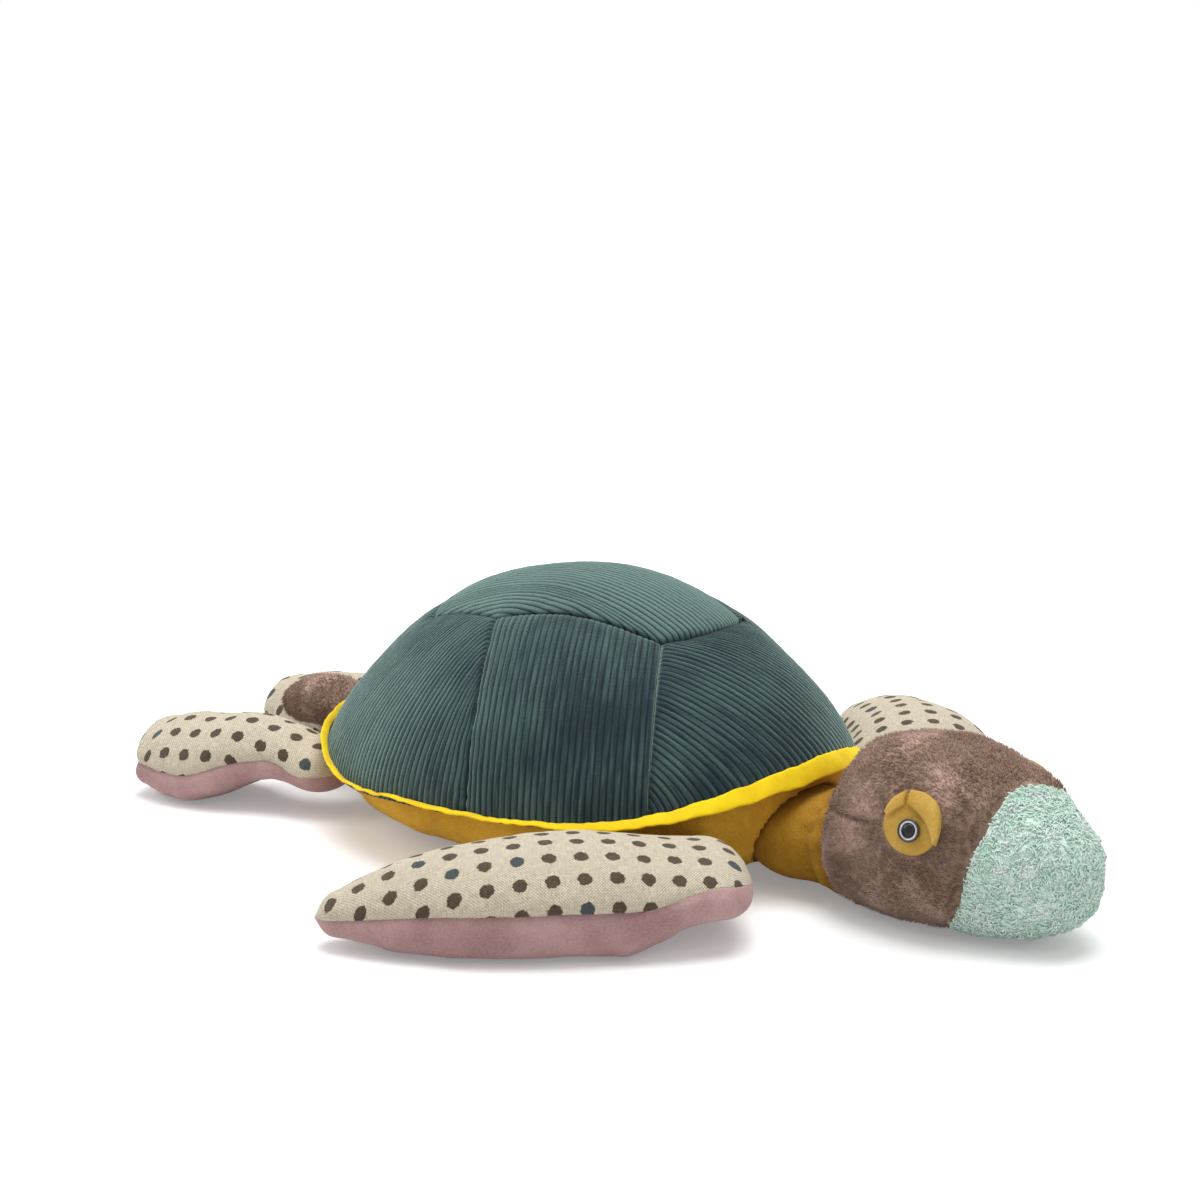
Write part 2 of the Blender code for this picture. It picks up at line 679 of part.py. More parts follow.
def make_flipper(name, hinge, tip, radius, half_width, sizes, outline, bow, looks, torso):
    """One flipper's two covers and its stuffing on a hinge along its root seam."""
    joint = joint_empty(name + "_joint", hinge, torso)
    form, axis = limb_form(hinge, tip, (radius, half_width, radius), sizes, outline,
                           LIMB_SEGMENTS, LIMB_RINGS, bow)
    top = cover_mesh(form, {UPPER_PART_INDEX}, 0.0, LINEN)
    under = cover_mesh(form, {LOWER_PART_INDEX}, 0.0, LINEN)
    fill = fill_mesh(form, LINEN + FILL_GAP)
    form.free()
    add_object(name + "_top_cover", top, joint, looks["linen"])
    add_object(name + "_underside_cover", under, joint, looks["mauve_velvet"])
    add_object(name + "_stuffing", fill, joint, looks["fibre"])
    return socket_cutter(name + "_socket_cutter", hinge, (radius, half_width), axis,
                         (0, 0, 1), joint)


def neck_place(share, angle):
    """A short tube: a root rounded about the upright turning axis, a front about the nod axis."""
    root = Vector((NECK_SEAM_X - CENTRE_X, 0.0, NECK_SEAM_Z))
    front = Vector((NOD_SEAM_X - CENTRE_X, 0.0, NOD_SEAM_Z))
    side, lift = math.cos(angle), math.sin(angle)
    cap = NECK_CAP_SHARE
    if share <= cap + CLOSE_SHARE:
        turn = math.pi / 2 * share / cap
        return root + Vector((-NECK_SEAM_RADIUS * math.cos(turn),
                              NECK_SEAM_RADIUS * math.sin(turn) * side,
                              NECK_SEAM_HALF_HEIGHT * math.sin(turn) * lift))
    if share >= 1 - cap - CLOSE_SHARE:
        turn = math.pi / 2 * (1 - share) / cap
        return front + Vector((NOD_SEAM_RADIUS * math.cos(turn),
                               NOD_SEAM_HALF_WIDTH * math.sin(turn) * side,
                               NOD_SEAM_RADIUS * math.sin(turn) * lift))
    run = (share - cap) / (1 - 2 * cap)
    middle = root.lerp(front, run)
    wide = NECK_SEAM_RADIUS + (NOD_SEAM_HALF_WIDTH - NECK_SEAM_RADIUS) * run
    high = NECK_SEAM_HALF_HEIGHT + (NOD_SEAM_RADIUS - NECK_SEAM_HALF_HEIGHT) * run
    return middle + Vector((0.0, wide * side, high * lift))


def neck_part(share, angle):
    """The tube is open at both ends, where it is sewn on."""
    ring = NECK_OPEN_RINGS / NECK_RINGS
    return OPEN_PART_INDEX if share < ring or share > 1 - ring else UPPER_PART_INDEX


def head_place(share, angle):
    """The head from its nose to its nape, fuller behind and sloping to the nose."""
    turn = math.pi * share
    ahead = math.cos(turn)
    round_share = math.sin(turn) if 0 < share < 1 else 0.0
    spread = round_share ** HEAD_SPREAD_POWER
    side = math.copysign(abs(math.cos(angle)) ** HEAD_SQUARE_POWER, math.cos(angle))
    lift = math.copysign(abs(math.sin(angle)) ** HEAD_SQUARE_POWER, math.sin(angle))
    slope = max(0.0, ahead + HEAD_SLOPE_START_SHARE)
    width = HEAD_HALF_WIDTH * (1 - HEAD_NOSE_WIDTH_SHARE * slope ** HEAD_NOSE_WIDTH_POWER)
    middle = HEAD_MID_HEIGHT * (1 - HEAD_NOSE_DROP_SHARE * slope)
    high = HEAD_TOP - HEAD_MID_HEIGHT
    high *= 1 - HEAD_NOSE_TOP_SHARE * slope ** HEAD_NOSE_TOP_POWER
    low = middle + FLAT_CUT
    if lift > 0:
        height = high * lift * spread
    else:
        height = low * lift * spread ** HEAD_UNDER_POWER
    return Vector((HEAD_CENTRE_X - CENTRE_X + HEAD_HALF_LENGTH * ahead,
                   width * spread * side, middle + height))


def eye_frame(form, side):
    """The eye's place on one side of the head, with its outward, forward and upward directions."""
    start = Vector((EYE_X - CENTRE_X, side * HEAD_HALF_WIDTH * 2, EYE_Z))
    hits = []
    for face in form.faces:
        point = intersect(start, Vector((0, -side, 0)), [vert.co for vert in face.verts])
        if point is not None:
            hits.append(point)
    place = min(hits, key=lambda point: (point - start).length)
    out = Vector((0.0, 0.0, 0.0))
    form.normal_update()
    for face in form.faces:
        if (face.calc_center_median() - place).length < EYE_PATCH_HALF_HEIGHT:
            out += face.normal * face.calc_area()
    out.normalize()
    ahead = Vector((1, 0, 0))
    ahead = (ahead - out * ahead.dot(out)).normalized()
    upward = out.cross(ahead) * (-side)
    return place, out, ahead, upward


def intersect(start, direction, corners):
    """Where a line meets a triangle, or None."""
    edge_one, edge_two = corners[1] - corners[0], corners[2] - corners[0]
    cross = direction.cross(edge_two)
    size = edge_one.dot(cross)
    if size == 0.0:
        return None
    offset = start - corners[0]
    u = offset.dot(cross) / size
    turned = offset.cross(edge_one)
    v = direction.dot(turned) / size
    if u < 0 or v < 0 or u + v > 1:
        return None
    far = edge_two.dot(turned) / size
    return start + direction * far if far > 0 else None


def eye_seams(form, frame, side):
    """Runs the outlines of the patch and of the lid's two flaps into the head's skin."""
    place, out, ahead, upward = frame
    brown = LEFT_PART_INDEX if side > 0 else RIGHT_PART_INDEX
    patch, lid, flap = PATCH_PART_INDEX + side, LID_PART_INDEX + side, FLAP_PART_INDEX + side

    def local(co):
        return (co - place).dot(ahead), (co - place).dot(upward)

    def ellipse(co, half_length, half_height, shift_up):
        if abs(co.y) < HEAD_HALF_WIDTH * EYE_SIDE_SHARE or co.y * side < 0:
            return -HEAD_HALF_WIDTH
        a, b = local(co)
        b -= shift_up
        return half_length * (1 - math.hypot(a / half_length, b / half_height))

    for reach_share in EYE_DETAIL_SHARES:
        reach = EYE_PATCH_HALF_HEIGHT * reach_share
        near = [face for face in form.faces
                if (face.calc_center_median() - place).length < reach]
        edges = list(dict.fromkeys(edge for face in near for edge in face.edges))
        bmesh.ops.subdivide_edges(form, edges=edges, cuts=1, use_grid_fill=True)
        bmesh.ops.triangulate(form, faces=form.faces[:])

    eye_up = -EYE_ON_PATCH_DROP
    inner = BEZEL_RADIUS + LID_CLEAR
    outer = inner + LID_WIDTH

    def patch_outline(co):
        return ellipse(co, EYE_PATCH_HALF_LENGTH, EYE_PATCH_HALF_HEIGHT, 0.0)

    def lid_outline(co):
        return min(ellipse(co, outer, outer, eye_up), local(co)[1] - eye_up)

    def lid_opening(co):
        return ellipse(co, inner, inner, eye_up)

    def lid_fold(co):
        return -local(co)[0] - LID_FOLD_SHIFT

    split_along(form, patch_outline, brown, patch)
    split_along(form, lid_outline, patch, lid)
    split_along(form, lid_opening, lid, patch)
    split_along(form, lid_fold, lid, flap)
    return patch, lid, flap


def head_form():
    """The head's skin with the muzzle seam, the centre seam and the eyes' outlines."""
    form = new_form(HEAD_SEGMENTS, HEAD_RINGS, head_place, lambda share, angle: RIGHT_PART_INDEX)
    cut_flat(form, (0, 0, 0), (0, 0, -1), RIGHT_PART_INDEX)
    cut_flat(form, (HEAD_BACK_X - CENTRE_X, 0, 0), (-1, 0, 0), RIGHT_PART_INDEX)
    frames = {side: eye_frame(form, side) for side in (-1, 1)}
    lean = MUZZLE_SEAM_LEAN / MUZZLE_SEAM_LEAN_HEIGHT

    def muzzle_seam(co):
        return co.x + CENTRE_X - MUZZLE_SEAM_BOTTOM_X - lean * co.z

    def centre_seam(co):
        return co.y

    split_along(form, muzzle_seam, RIGHT_PART_INDEX, MUZZLE_PART_INDEX)
    split_along(form, centre_seam, RIGHT_PART_INDEX, LEFT_PART_INDEX)
    eye_parts = {side: eye_seams(form, frames[side], side) for side in (-1, 1)}
    store_inward(form)
    return form, frames, eye_parts


def turned_piece(profile, frame, height):
    """Turns a closed profile of (radius, height) points about the eye's outward axis."""
    place, out, ahead, upward = frame
    piece = bmesh.new()
    rows = []
    for k in range(EYE_SEGMENTS):
        angle = 2 * math.pi * k / EYE_SEGMENTS
        spoke = ahead * math.cos(angle) + upward * math.sin(angle)
        rows.append([place + spoke * radius + out * (height + up) for radius, up in profile])
    verts = []
    centre = {}
    for row in rows:
        made = []
        for index, co in enumerate(row):
            if profile[index][0] == 0.0:
                if index not in centre:
                    centre[index] = piece.verts.new(co)
                made.append(centre[index])
            else:
                made.append(piece.verts.new(co))
        verts.append(made)
    closed = profile[0][0] != 0.0
    count = len(profile)
    for k in range(EYE_SEGMENTS):
        near, far = verts[k], verts[(k + 1) % EYE_SEGMENTS]
        for c in range(count if closed else count - 1):
            d = (c + 1) % count
            corners = []
            for vert in (near[c], near[d], far[d], far[c]):
                if vert not in corners:
                    corners.append(vert)
            if len(corners) > 2:
                piece.faces.new(corners)
    bmesh.ops.triangulate(piece, faces=piece.faces[:])
    bmesh.ops.recalc_face_normals(piece, faces=piece.faces[:])
    return piece


def seat_height(patch, centre, out):
    """How far the patch stands out under the eye."""
    heights = []
    for vert in patch.verts:
        offset = vert.co - centre
        height = offset.dot(out)
        if (offset - out * height).length < 2 * BEZEL_RADIUS:
            heights.append(height)
    return max(heights) + EYE_GAP


def bezel_profile(floor_height):
    """The eye's rim with its recess, and the shank behind it."""
    lip = (BEZEL_RADIUS - BEZEL_RECESS_RADIUS) / 2
    points = [(0.0, -SHANK_LENGTH), (SHANK_RADIUS, -SHANK_LENGTH), (SHANK_RADIUS, 0.0),
              (BEZEL_RADIUS, 0.0)]
    for k in range(LIP_SEGMENTS + 1):
        turn = math.pi * k / LIP_SEGMENTS
        points.append((BEZEL_RADIUS - lip + lip * math.cos(turn),
                       BEZEL_HEIGHT - lip + lip * math.sin(turn)))
    return points + [(BEZEL_RECESS_RADIUS, floor_height), (0.0, floor_height)]


def ring_profile(base):
    """A flat ring with a low crown."""
    middle = (RING_OUTER_RADIUS + RING_INNER_RADIUS) / 2
    edge = base + RING_HEIGHT - RING_CROWN
    return ((RING_INNER_RADIUS, base), (RING_OUTER_RADIUS, base), (RING_OUTER_RADIUS, edge),
            (middle, base + RING_HEIGHT), (RING_INNER_RADIUS, edge))


def pupil_profile(base):
    """A domed disc."""
    points = [(0.0, base), (PUPIL_RADIUS, base)]
    for k in range(PUPIL_SEGMENTS):
        turn = math.pi / 2 * k / PUPIL_SEGMENTS
        points.append((PUPIL_RADIUS * math.cos(turn),
                       base + PUPIL_EDGE + (PUPIL_RISE - PUPIL_EDGE) * math.sin(turn)))
    return points + [(0.0, base + PUPIL_RISE)]


def round_profile(inner, outer, low, high):
    """A disc, or a washer where inner isn't zero."""
    return ((inner, low), (outer, low), (outer, high), (inner, high))


def make_eye(name, form, frame, parts, joint, looks):
    """The felt patch and lid, the shanked bezel, its ring and pupil, and the inner washer."""
    patch_part, lid_part, flap_part = parts
    patch_top = -(EYE_GAP + FELT)
    lid_under = patch_top - EYE_GAP
    lid_top = lid_under - LID_THICK
    patch = cover_mesh(form, set(parts), patch_top, -EYE_GAP)
    lid = cover_mesh(form, {lid_part}, lid_top, lid_under)
    flap = cover_mesh(form, {flap_part}, lid_top, lid_under)

    place, out, ahead, upward = frame
    centre = place - upward * EYE_ON_PATCH_DROP
    seat = seat_height(patch, centre, out)
    eye = (centre, out, ahead, upward)
    bore = SHANK_RADIUS + 2 * EYE_GAP
    floor_height = BEZEL_HEIGHT - BEZEL_RECESS_DEPTH
    base = floor_height + EYE_GAP
    bezel = turned_piece(bezel_profile(floor_height), eye, seat)
    ring = turned_piece(ring_profile(base), eye, seat)
    pupil = turned_piece(pupil_profile(base), eye, seat)
    washer = turned_piece(round_profile(bore, WASHER_RADIUS, -WASHER_DEPTH - WASHER_THICK,
                                        -WASHER_DEPTH), eye, seat)
    deep = -SHANK_LENGTH - CUT_OVERRUN
    hole = turned_piece(round_profile(0.0, bore, deep, CUT_OVERRUN), eye, seat)
    pocket = turned_piece(round_profile(0.0, WASHER_RADIUS + SOCKET_GAP, deep, CUT_OVERRUN),
                          eye, seat)
    patch_node = add_object(name + "_patch", patch, joint, looks["felt"])
    add_object(name + "_eyelid", lid, joint, looks["felt"])
    add_object(name + "_eyelid_flap", flap, joint, looks["felt"])
    add_object(name + "_bezel", bezel, joint, looks["eye_rim"])
    add_object(name + "_ring", ring, joint, looks["eye_ring"])
    add_object(name + "_pupil", pupil, joint, looks["eye_pupil"])
    add_object(name + "_washer", washer, joint, looks["washer"])
    cutters = []
    for label, mesh_data in (("_hole_cutter", hole), ("_pocket_cutter", pocket)):
        cutter = add_object(name + label, mesh_data, joint, looks["washer"], smooth=False)
        cutter.hide_render = True
        cutter.display_type = "WIRE"
        cutters.append(cutter)
    carve(patch_node, cutters[0])
    return cutters


def make_looks():
    """Every piece's plain colour."""
    return {
        "corduroy": material("corduroy", (0.060, 0.110, 0.125), 0.85),
        "rim_yellow": material("rim_yellow", (0.870, 0.600, 0.010), 0.80),
        "mustard_velvet": material("mustard_velvet", (0.520, 0.280, 0.050), 0.80),
        "linen": material("linen", (0.560, 0.500, 0.400), 0.90),
        "mauve_velvet": material("mauve_velvet", (0.340, 0.210, 0.215), 0.80),
        "brown_fur": material("brown_fur", (0.190, 0.120, 0.090), 0.95),
        "mint_terry": material("mint_terry", (0.400, 0.610, 0.520), 0.95),
        "felt": material("felt", (0.700, 0.470, 0.100), 0.90),
        "eye_rim": material("eye_rim", (0.020, 0.022, 0.025), 0.25),
        "eye_ring": material("eye_ring", (0.450, 0.450, 0.460), 0.30, 1.0),
        "eye_pupil": material("eye_pupil", (0.030, 0.040, 0.050), 0.10),
        "washer": material("washer", (0.700, 0.700, 0.680), 0.50),
        "fibre": material("fibre", (0.800, 0.790, 0.760), 1.00),
    }


def make_torso(looks):
    """The shell's five panels, the band, the belly and the stuffing."""
    torso = joint_empty("torso_origin", (0.0, 0.0, 0.0))
    form = torso_form()
    panels = (
        ("shell_top_panel", SHELL_TOP_PART_INDEX, CORDUROY, "corduroy"),
        ("shell_front_panel", SHELL_FRONT_PART_INDEX, CORDUROY, "corduroy"),
        ("shell_rear_panel", SHELL_REAR_PART_INDEX, CORDUROY, "corduroy"),
        ("shell_left_panel", SHELL_LEFT_PART_INDEX, CORDUROY, "corduroy"),
        ("shell_right_panel", SHELL_RIGHT_PART_INDEX, CORDUROY, "corduroy"),
        ("belly_panel", BELLY_PART_INDEX, CORDUROY, "mustard_velvet"),
    )
    nodes = {}
    for name, part_number, thick, look in panels:
        cloth = cover_mesh(form, {part_number}, 0.0, thick)
        nodes[name] = add_object(name, cloth, torso, looks[look])
    fill = fill_mesh(form, CORDUROY + FILL_GAP)
    nodes["body_stuffing"] = add_object("body_stuffing", fill, torso, looks["fibre"])
    form.free()
    nodes["rim_band"] = make_band(torso, looks["rim_yellow"])
    return torso, nodes


def make_neck(torso, looks):
    """The gathered neck tube and its stuffing."""
    root_place = Vector((NECK_SEAM_X - CENTRE_X, 0.0, NECK_SEAM_Z))
    joint = joint_empty("neck_joint", root_place, torso)
    joint.rotation_euler.z = math.radians(HEAD_TURN_DEGREES)
    form = new_form(NECK_SEGMENTS, NECK_RINGS, neck_place, neck_part)
    store_inward(form)
    add_object("neck_cover", cover_mesh(form, {UPPER_PART_INDEX}, 0.0, VELVET), joint,
               looks["mustard_velvet"])
    add_object("neck_stuffing", fill_mesh(form, VELVET + FILL_GAP), joint, looks["fibre"])
    form.free()
    root_cutter = socket_cutter("neck_root_cutter", root_place,
                                (NECK_SEAM_RADIUS, NECK_SEAM_HALF_HEIGHT),
                                (0, 0, 1), (1, 0, 0), joint)
    nod_place = Vector((NOD_SEAM_X - CENTRE_X, 0.0, NOD_SEAM_Z))
    nod_cutter = socket_cutter("nod_cutter", nod_place, (NOD_SEAM_RADIUS, NOD_SEAM_HALF_WIDTH),
                               (0, 1, 0), (1, 0, 0), joint)
    return joint, nod_place, root_cutter, nod_cutter


def make_head(neck, nod_place, nod_cutter, looks):
    """The head's covers, its stuffing and both eyes."""
    joint = joint_empty("head_joint", nod_place, neck)
    form, frames, eye_parts = head_form()
    covers = {}
    for label, part_number, side in (("right", RIGHT_PART_INDEX, -1), ("left", LEFT_PART_INDEX, 1)):
        parts = {part_number} | set(eye_parts[side])
        cloth = cover_mesh(form, parts, 0.0, FUR_CLOTH)
        covers[side] = add_object("head_" + label + "_cover", cloth, joint, looks["brown_fur"])
        carve(covers[side], nod_cutter)
    add_object("muzzle_cover", cover_mesh(form, {MUZZLE_PART_INDEX}, 0.0, TERRY), joint,
               looks["mint_terry"])
    fill = fill_mesh(form, FUR_CLOTH + FILL_GAP)
    fill_back = HEAD_BACK_X + FUR_CLOTH + HEAD_BACK_GAP
    cut_flat(fill, (fill_back - CENTRE_X, 0, 0), (-1, 0, 0), OPEN_PART_INDEX)
    stuffing = add_object("head_stuffing", fill, joint, looks["fibre"])
    carve(stuffing, nod_cutter)
    for label, side in (("right", -1), ("left", 1)):
        hole, pocket = make_eye(label + "_eye", form, frames[side], eye_parts[side], joint,
                                looks)
        carve(covers[side], hole)
        carve(stuffing, pocket)
    form.free()
    return joint


def make_tail(torso, looks):
    """The fur tail stub on its seam."""
    hinge = Vector((TAIL_HINGE_X - CENTRE_X, 0.0, TAIL_HINGE_Z))
    tip = Vector((TAIL_TIP_X - CENTRE_X, 0.0, TAIL_TIP_Z))
    joint = joint_empty("tail_joint", hinge, torso)
    outline = (STUB_STATION_SHARES, STUB_WIDTH_SHARES, STUB_TOP_SHARES, STUB_UNDER_SHARES)
    root = (TAIL_HINGE_RADIUS, TAIL_HINGE_RADIUS, TAIL_HINGE_HALF_HEIGHT)
    sizes = (TAIL_HALF_WIDTH, TAIL_TOP_RISE, TAIL_MID_HEIGHT, TAIL_UNDER_DROP)
    form = limb_form(hinge, tip, root, sizes, outline, TAIL_SEGMENTS, TAIL_RINGS, 0.0)[0]
    part = form.faces.layers.int["part"]
    sewn_end = hinge.x + TAIL_HINGE_RADIUS * TAIL_OPEN_SHARE
    for face in form.faces:
        face[part] = OPEN_PART_INDEX if face.calc_center_median().x > sewn_end else UPPER_PART_INDEX
    add_object("tail_cover", cover_mesh(form, {UPPER_PART_INDEX}, 0.0, FUR_CLOTH), joint,
               looks["brown_fur"])
    add_object("tail_stuffing", fill_mesh(form, FUR_CLOTH + FILL_GAP), joint, looks["fibre"])
    form.free()
    return socket_cutter("tail_socket_cutter", hinge,
                         (TAIL_HINGE_RADIUS, TAIL_HINGE_HALF_HEIGHT),
                         (0, 0, 1), (1, 0, 0), joint)


def make_flippers(torso, looks):
    """All four flippers, and the cutters of their seats in the torso."""
    leaf = (LEAF_STATION_SHARES, LEAF_WIDTH_SHARES, LEAF_TOP_SHARES, LEAF_UNDER_SHARES)
    paddle = (PADDLE_STATION_SHARES, PADDLE_WIDTH_SHARES, PADDLE_TOP_SHARES,
              PADDLE_UNDER_SHARES)
    front_sizes = (FRONT_HALF_WIDTH, FRONT_TOP_RISE, FRONT_SEAM_HEIGHT,
                   FRONT_SEAM_HEIGHT + FLAT_CUT)
    rear_sizes = (REAR_HALF_WIDTH, REAR_TOP_RISE, REAR_SEAM_HEIGHT,
                  REAR_SEAM_HEIGHT + FLAT_CUT)
    cutters = []
    for label, side, rear_tip_x, rear_tip_y in (
            ("right", -1, REAR_RIGHT_TIP_X, REAR_RIGHT_TIP_Y),
            ("left", 1, REAR_LEFT_TIP_X, REAR_LEFT_TIP_Y)):
        hinge = Vector((FRONT_HINGE_X - CENTRE_X, side * FRONT_HINGE_Y,
                        FRONT_HINGE_RADIUS - FLAT_CUT))
        tip = Vector((FRONT_TIP_X - CENTRE_X, side * FRONT_TIP_Y, FRONT_TIP_Z))
        cutters.append(make_flipper("front_" + label + "_flipper", hinge, tip,
                                    FRONT_HINGE_RADIUS, FRONT_HINGE_HALF_WIDTH, front_sizes,
                                    leaf, -side * FRONT_BOW, looks, torso))
        hinge = Vector((REAR_HINGE_X - CENTRE_X, side * REAR_HINGE_Y,
                        REAR_HINGE_RADIUS - FLAT_CUT))
        tip = Vector((rear_tip_x - CENTRE_X, side * rear_tip_y, REAR_TIP_Z))
        cutters.append(make_flipper("rear_" + label + "_flipper", hinge, tip,
                                    REAR_HINGE_RADIUS, REAR_HINGE_HALF_WIDTH, rear_sizes,
                                    paddle, -side * REAR_BOW, looks, torso))
    return cutters


def main():
    clear_scene()
    looks = make_looks()
    torso, nodes = make_torso(looks)
    neck, nod_place, root_cutter, nod_cutter = make_neck(torso, looks)
    make_head(neck, nod_place, nod_cutter, looks)
    cutters = [root_cutter, make_tail(torso, looks)] + make_flippers(torso, looks)
    for cutter in cutters:
        carve(nodes["belly_panel"], cutter)
        carve(nodes["body_stuffing"], cutter)
    bpy.context.view_layer.update()


main()
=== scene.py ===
import json
import math

import bmesh
import bpy
import numpy as np
from mathutils import Matrix, Vector, kdtree, noise
from mathutils.bvhtree import BVHTree


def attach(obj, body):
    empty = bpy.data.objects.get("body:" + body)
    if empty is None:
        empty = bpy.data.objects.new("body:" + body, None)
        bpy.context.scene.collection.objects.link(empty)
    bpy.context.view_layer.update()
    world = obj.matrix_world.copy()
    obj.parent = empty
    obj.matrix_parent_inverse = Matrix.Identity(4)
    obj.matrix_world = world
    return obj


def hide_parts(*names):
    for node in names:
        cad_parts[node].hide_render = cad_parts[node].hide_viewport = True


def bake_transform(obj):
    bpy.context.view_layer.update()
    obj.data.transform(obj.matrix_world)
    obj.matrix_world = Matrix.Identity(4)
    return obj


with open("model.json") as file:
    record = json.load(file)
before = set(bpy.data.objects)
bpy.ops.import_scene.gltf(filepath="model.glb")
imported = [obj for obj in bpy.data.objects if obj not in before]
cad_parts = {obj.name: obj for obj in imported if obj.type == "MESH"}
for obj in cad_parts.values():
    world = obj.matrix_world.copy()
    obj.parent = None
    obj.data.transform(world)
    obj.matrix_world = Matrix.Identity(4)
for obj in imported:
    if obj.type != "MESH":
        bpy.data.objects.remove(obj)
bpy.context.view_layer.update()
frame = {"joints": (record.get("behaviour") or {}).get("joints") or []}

jointPlace = {joint["name"]: Vector(joint["pos_m"]) for joint in frame["joints"]}
draws = np.random.default_rng(7)  # one seed for the fur and the loops

# Numbers are metres. The shell's middle lies behind the seam at the neck's root
shell = {
    "front": 0.160, "rear": 0.171, "halfWidth": 0.130, "egg": 0.006, "top": 0.158,
    "sideHeight": 0.043, "frontRise": 0.0285, "rearRise": 0.013,
    "hipDip": 0.0055, "hipAngle": 124, "hipSpread": 19,
    "spreadPower": 0.95, "sideLiftPower": 1.25, "endLiftPower": 0.50,
    "sideCorner": (-0.015, 0.067), "frontCorner": (0.081, 0.039), "rearCorner": (-0.082, 0.046),
    "endBow": 0.011, "slant": 1.0, "rearSeamRim": (0.015, 0.130), "frontSeamRim": (0.1135, 0.0947),
    "grooveDepth": 0.0012, "grooveWidth": 0.0040, "creaseDepth": 0.0011, "creaseWidth": 0.0010,
    "swell": 0.0009, "swellWidth": 0.014,
    "walePitch": 0.0037, "waleHeight": 0.00060, "linesPerWale": 6, "rowStep": 0.0030,
    "uneven": (240, 7, 0.35), "ridgePower": 2.5, "pucker": (95, 0, 0.0008), "puckerWidth": 0.012,
    "dents": ((17, 3, 0.0011), (44, 5, 0.0004)), "seamShade": (0.30, 0.0022),
    "cloth": 0.0012, "tuck": 0.0016, "cornerTrim": 0.0001, "hemDrop": 0.0024, "hemOut": 0.010,
    "rearShare": 0.65,
    # painted light: a tone level for each panel, the top panel lightest as it is lit from above and
    # the side panels darkest, partly the nap's own look
    "nap": {"shellTop": 0.95, "shellRear": 0.25, "shellFront": 0.15, "shellRight": 0.13,
            "shellLeft": 0.13},
}
shellX = jointPlace["neck_turn"].x - shell["front"]
headTurn = (Matrix.Translation(jointPlace["neck_turn"]) @ Matrix.Rotation(math.radians(-8), 4, "Z")
            @ Matrix.Translation(-jointPlace["neck_turn"]))
headPlace = headTurn @ Matrix.Translation((shellX, 0, 0))


# Reading and shaping meshes

def smoothStep(low, high, value):
    t = np.clip((value - low) / (high - low), 0, 1)
    return t * t * (3 - 2 * t)


def bell(value, width):
    return np.exp(-(value / width) ** 2)


def noiseAt(points, scale, seed=0.0):
    shift = Vector((seed * 17.3, seed * 5.1, seed * 9.7))
    flat = np.asarray(points, float).reshape(-1, 3) * scale
    values = [noise.noise(Vector(p) + shift) for p in flat]
    return np.array(values).reshape(np.shape(points)[:-1])


def between(stations, shares, at):
    # a smooth curve through shares at stations
    stations, shares = np.array(stations), np.array(shares)
    at = np.clip(at, 0, 1)
    k = np.clip(np.searchsorted(stations, at, side="left") - 1, 0, len(stations) - 2)
    run = np.clip((at - stations[k]) / (stations[k + 1] - stations[k]), 0, 1)
    start, end, gap = shares[k], shares[k + 1], stations[k + 1] - stations[k]
    slopes = np.gradient(shares, stations)
    cubic = 2 * run ** 3 - 3 * run ** 2 + 1
    return (cubic * start + (run ** 3 - 2 * run ** 2 + run) * gap * slopes[k]
            + (1 - cubic) * end + (run ** 3 - run ** 2) * gap * slopes[k + 1])


def roundTurn(count):
    # evenly spaced angles once round
    return np.arange(count) * 2 * math.pi / count


def onCircle(angle):
    return np.stack([np.cos(angle), np.sin(angle), 0 * angle], -1)


def runAlong(line):
    # length from a line's first point to each of its points
    return np.concatenate([[0], np.cumsum(np.linalg.norm(np.diff(line, axis=0), axis=1))])


def pointsAt(line, run, at):
    # places in plan on a line, by length along it
    return np.stack([np.interp(at, run, line[:, k]) for k in (0, 1)], -1)


def layered(points, layers, seed=0):
    # noise of several scales: (scale, seed, height) each
    return sum(noiseAt(points, scale, seed + own) * height for scale, own, height in layers)


def meshFrom(shape, name):
    mesh = bpy.data.meshes.new(name)
    shape.to_mesh(mesh)
    shape.free()
    return mesh


def readPoints(mesh):
    points = np.empty(len(mesh.vertices) * 3)
    mesh.vertices.foreach_get("co", points)
    return points.reshape(-1, 3)


def writePoints(mesh, points):
    mesh.vertices.foreach_set("co", np.ascontiguousarray(points, dtype=float).ravel())
    mesh.update()


def tableNormals(table, closed=True):
    # unit normals of a table of points; on a closed one the first and last rows are poles
    across = (np.roll(table, -1, 1) - np.roll(table, 1, 1)) if closed else np.gradient(table, axis=1)
    along = np.gradient(table, axis=0)
    normals = np.cross(across, along)
    if closed:
        normals[0], normals[-1] = normals[1].mean(0), normals[-2].mean(0)
    size = np.linalg.norm(normals, axis=2, keepdims=True)
    normals = normals / np.maximum(size, 1e-12)
    centre = table.reshape(-1, 3).mean(0)
    if np.median(np.einsum("ijk,ijk->ij", table - centre, normals)) < 0:
        normals = -normals
    return normals


def ballMesh(name, table, keep=None):
    # a sphere's mesh laid on a table of points: rows from pole to pole, columns round it
    rows, columns = table.shape[0] - 1, table.shape[1]
    ball = bmesh.new()
    bmesh.ops.create_uvsphere(ball, u_segments=columns, v_segments=rows, radius=1.0)
    if keep:
        unwanted = [face for face in ball.faces if not keep(face.calc_center_median())]
        bmesh.ops.delete(ball, geom=unwanted, context="FACES")
    mesh = meshFrom(ball, name)
    points = readPoints(mesh)
    row = np.rint(np.arccos(np.clip(points[:, 2], -1, 1)) / math.pi * rows).astype(int)
    turn = np.arctan2(points[:, 1], points[:, 0]) / (2 * math.pi)
    column = np.rint(turn * columns).astype(int) % columns
    writePoints(mesh, table[row, column])
    return mesh, row, column


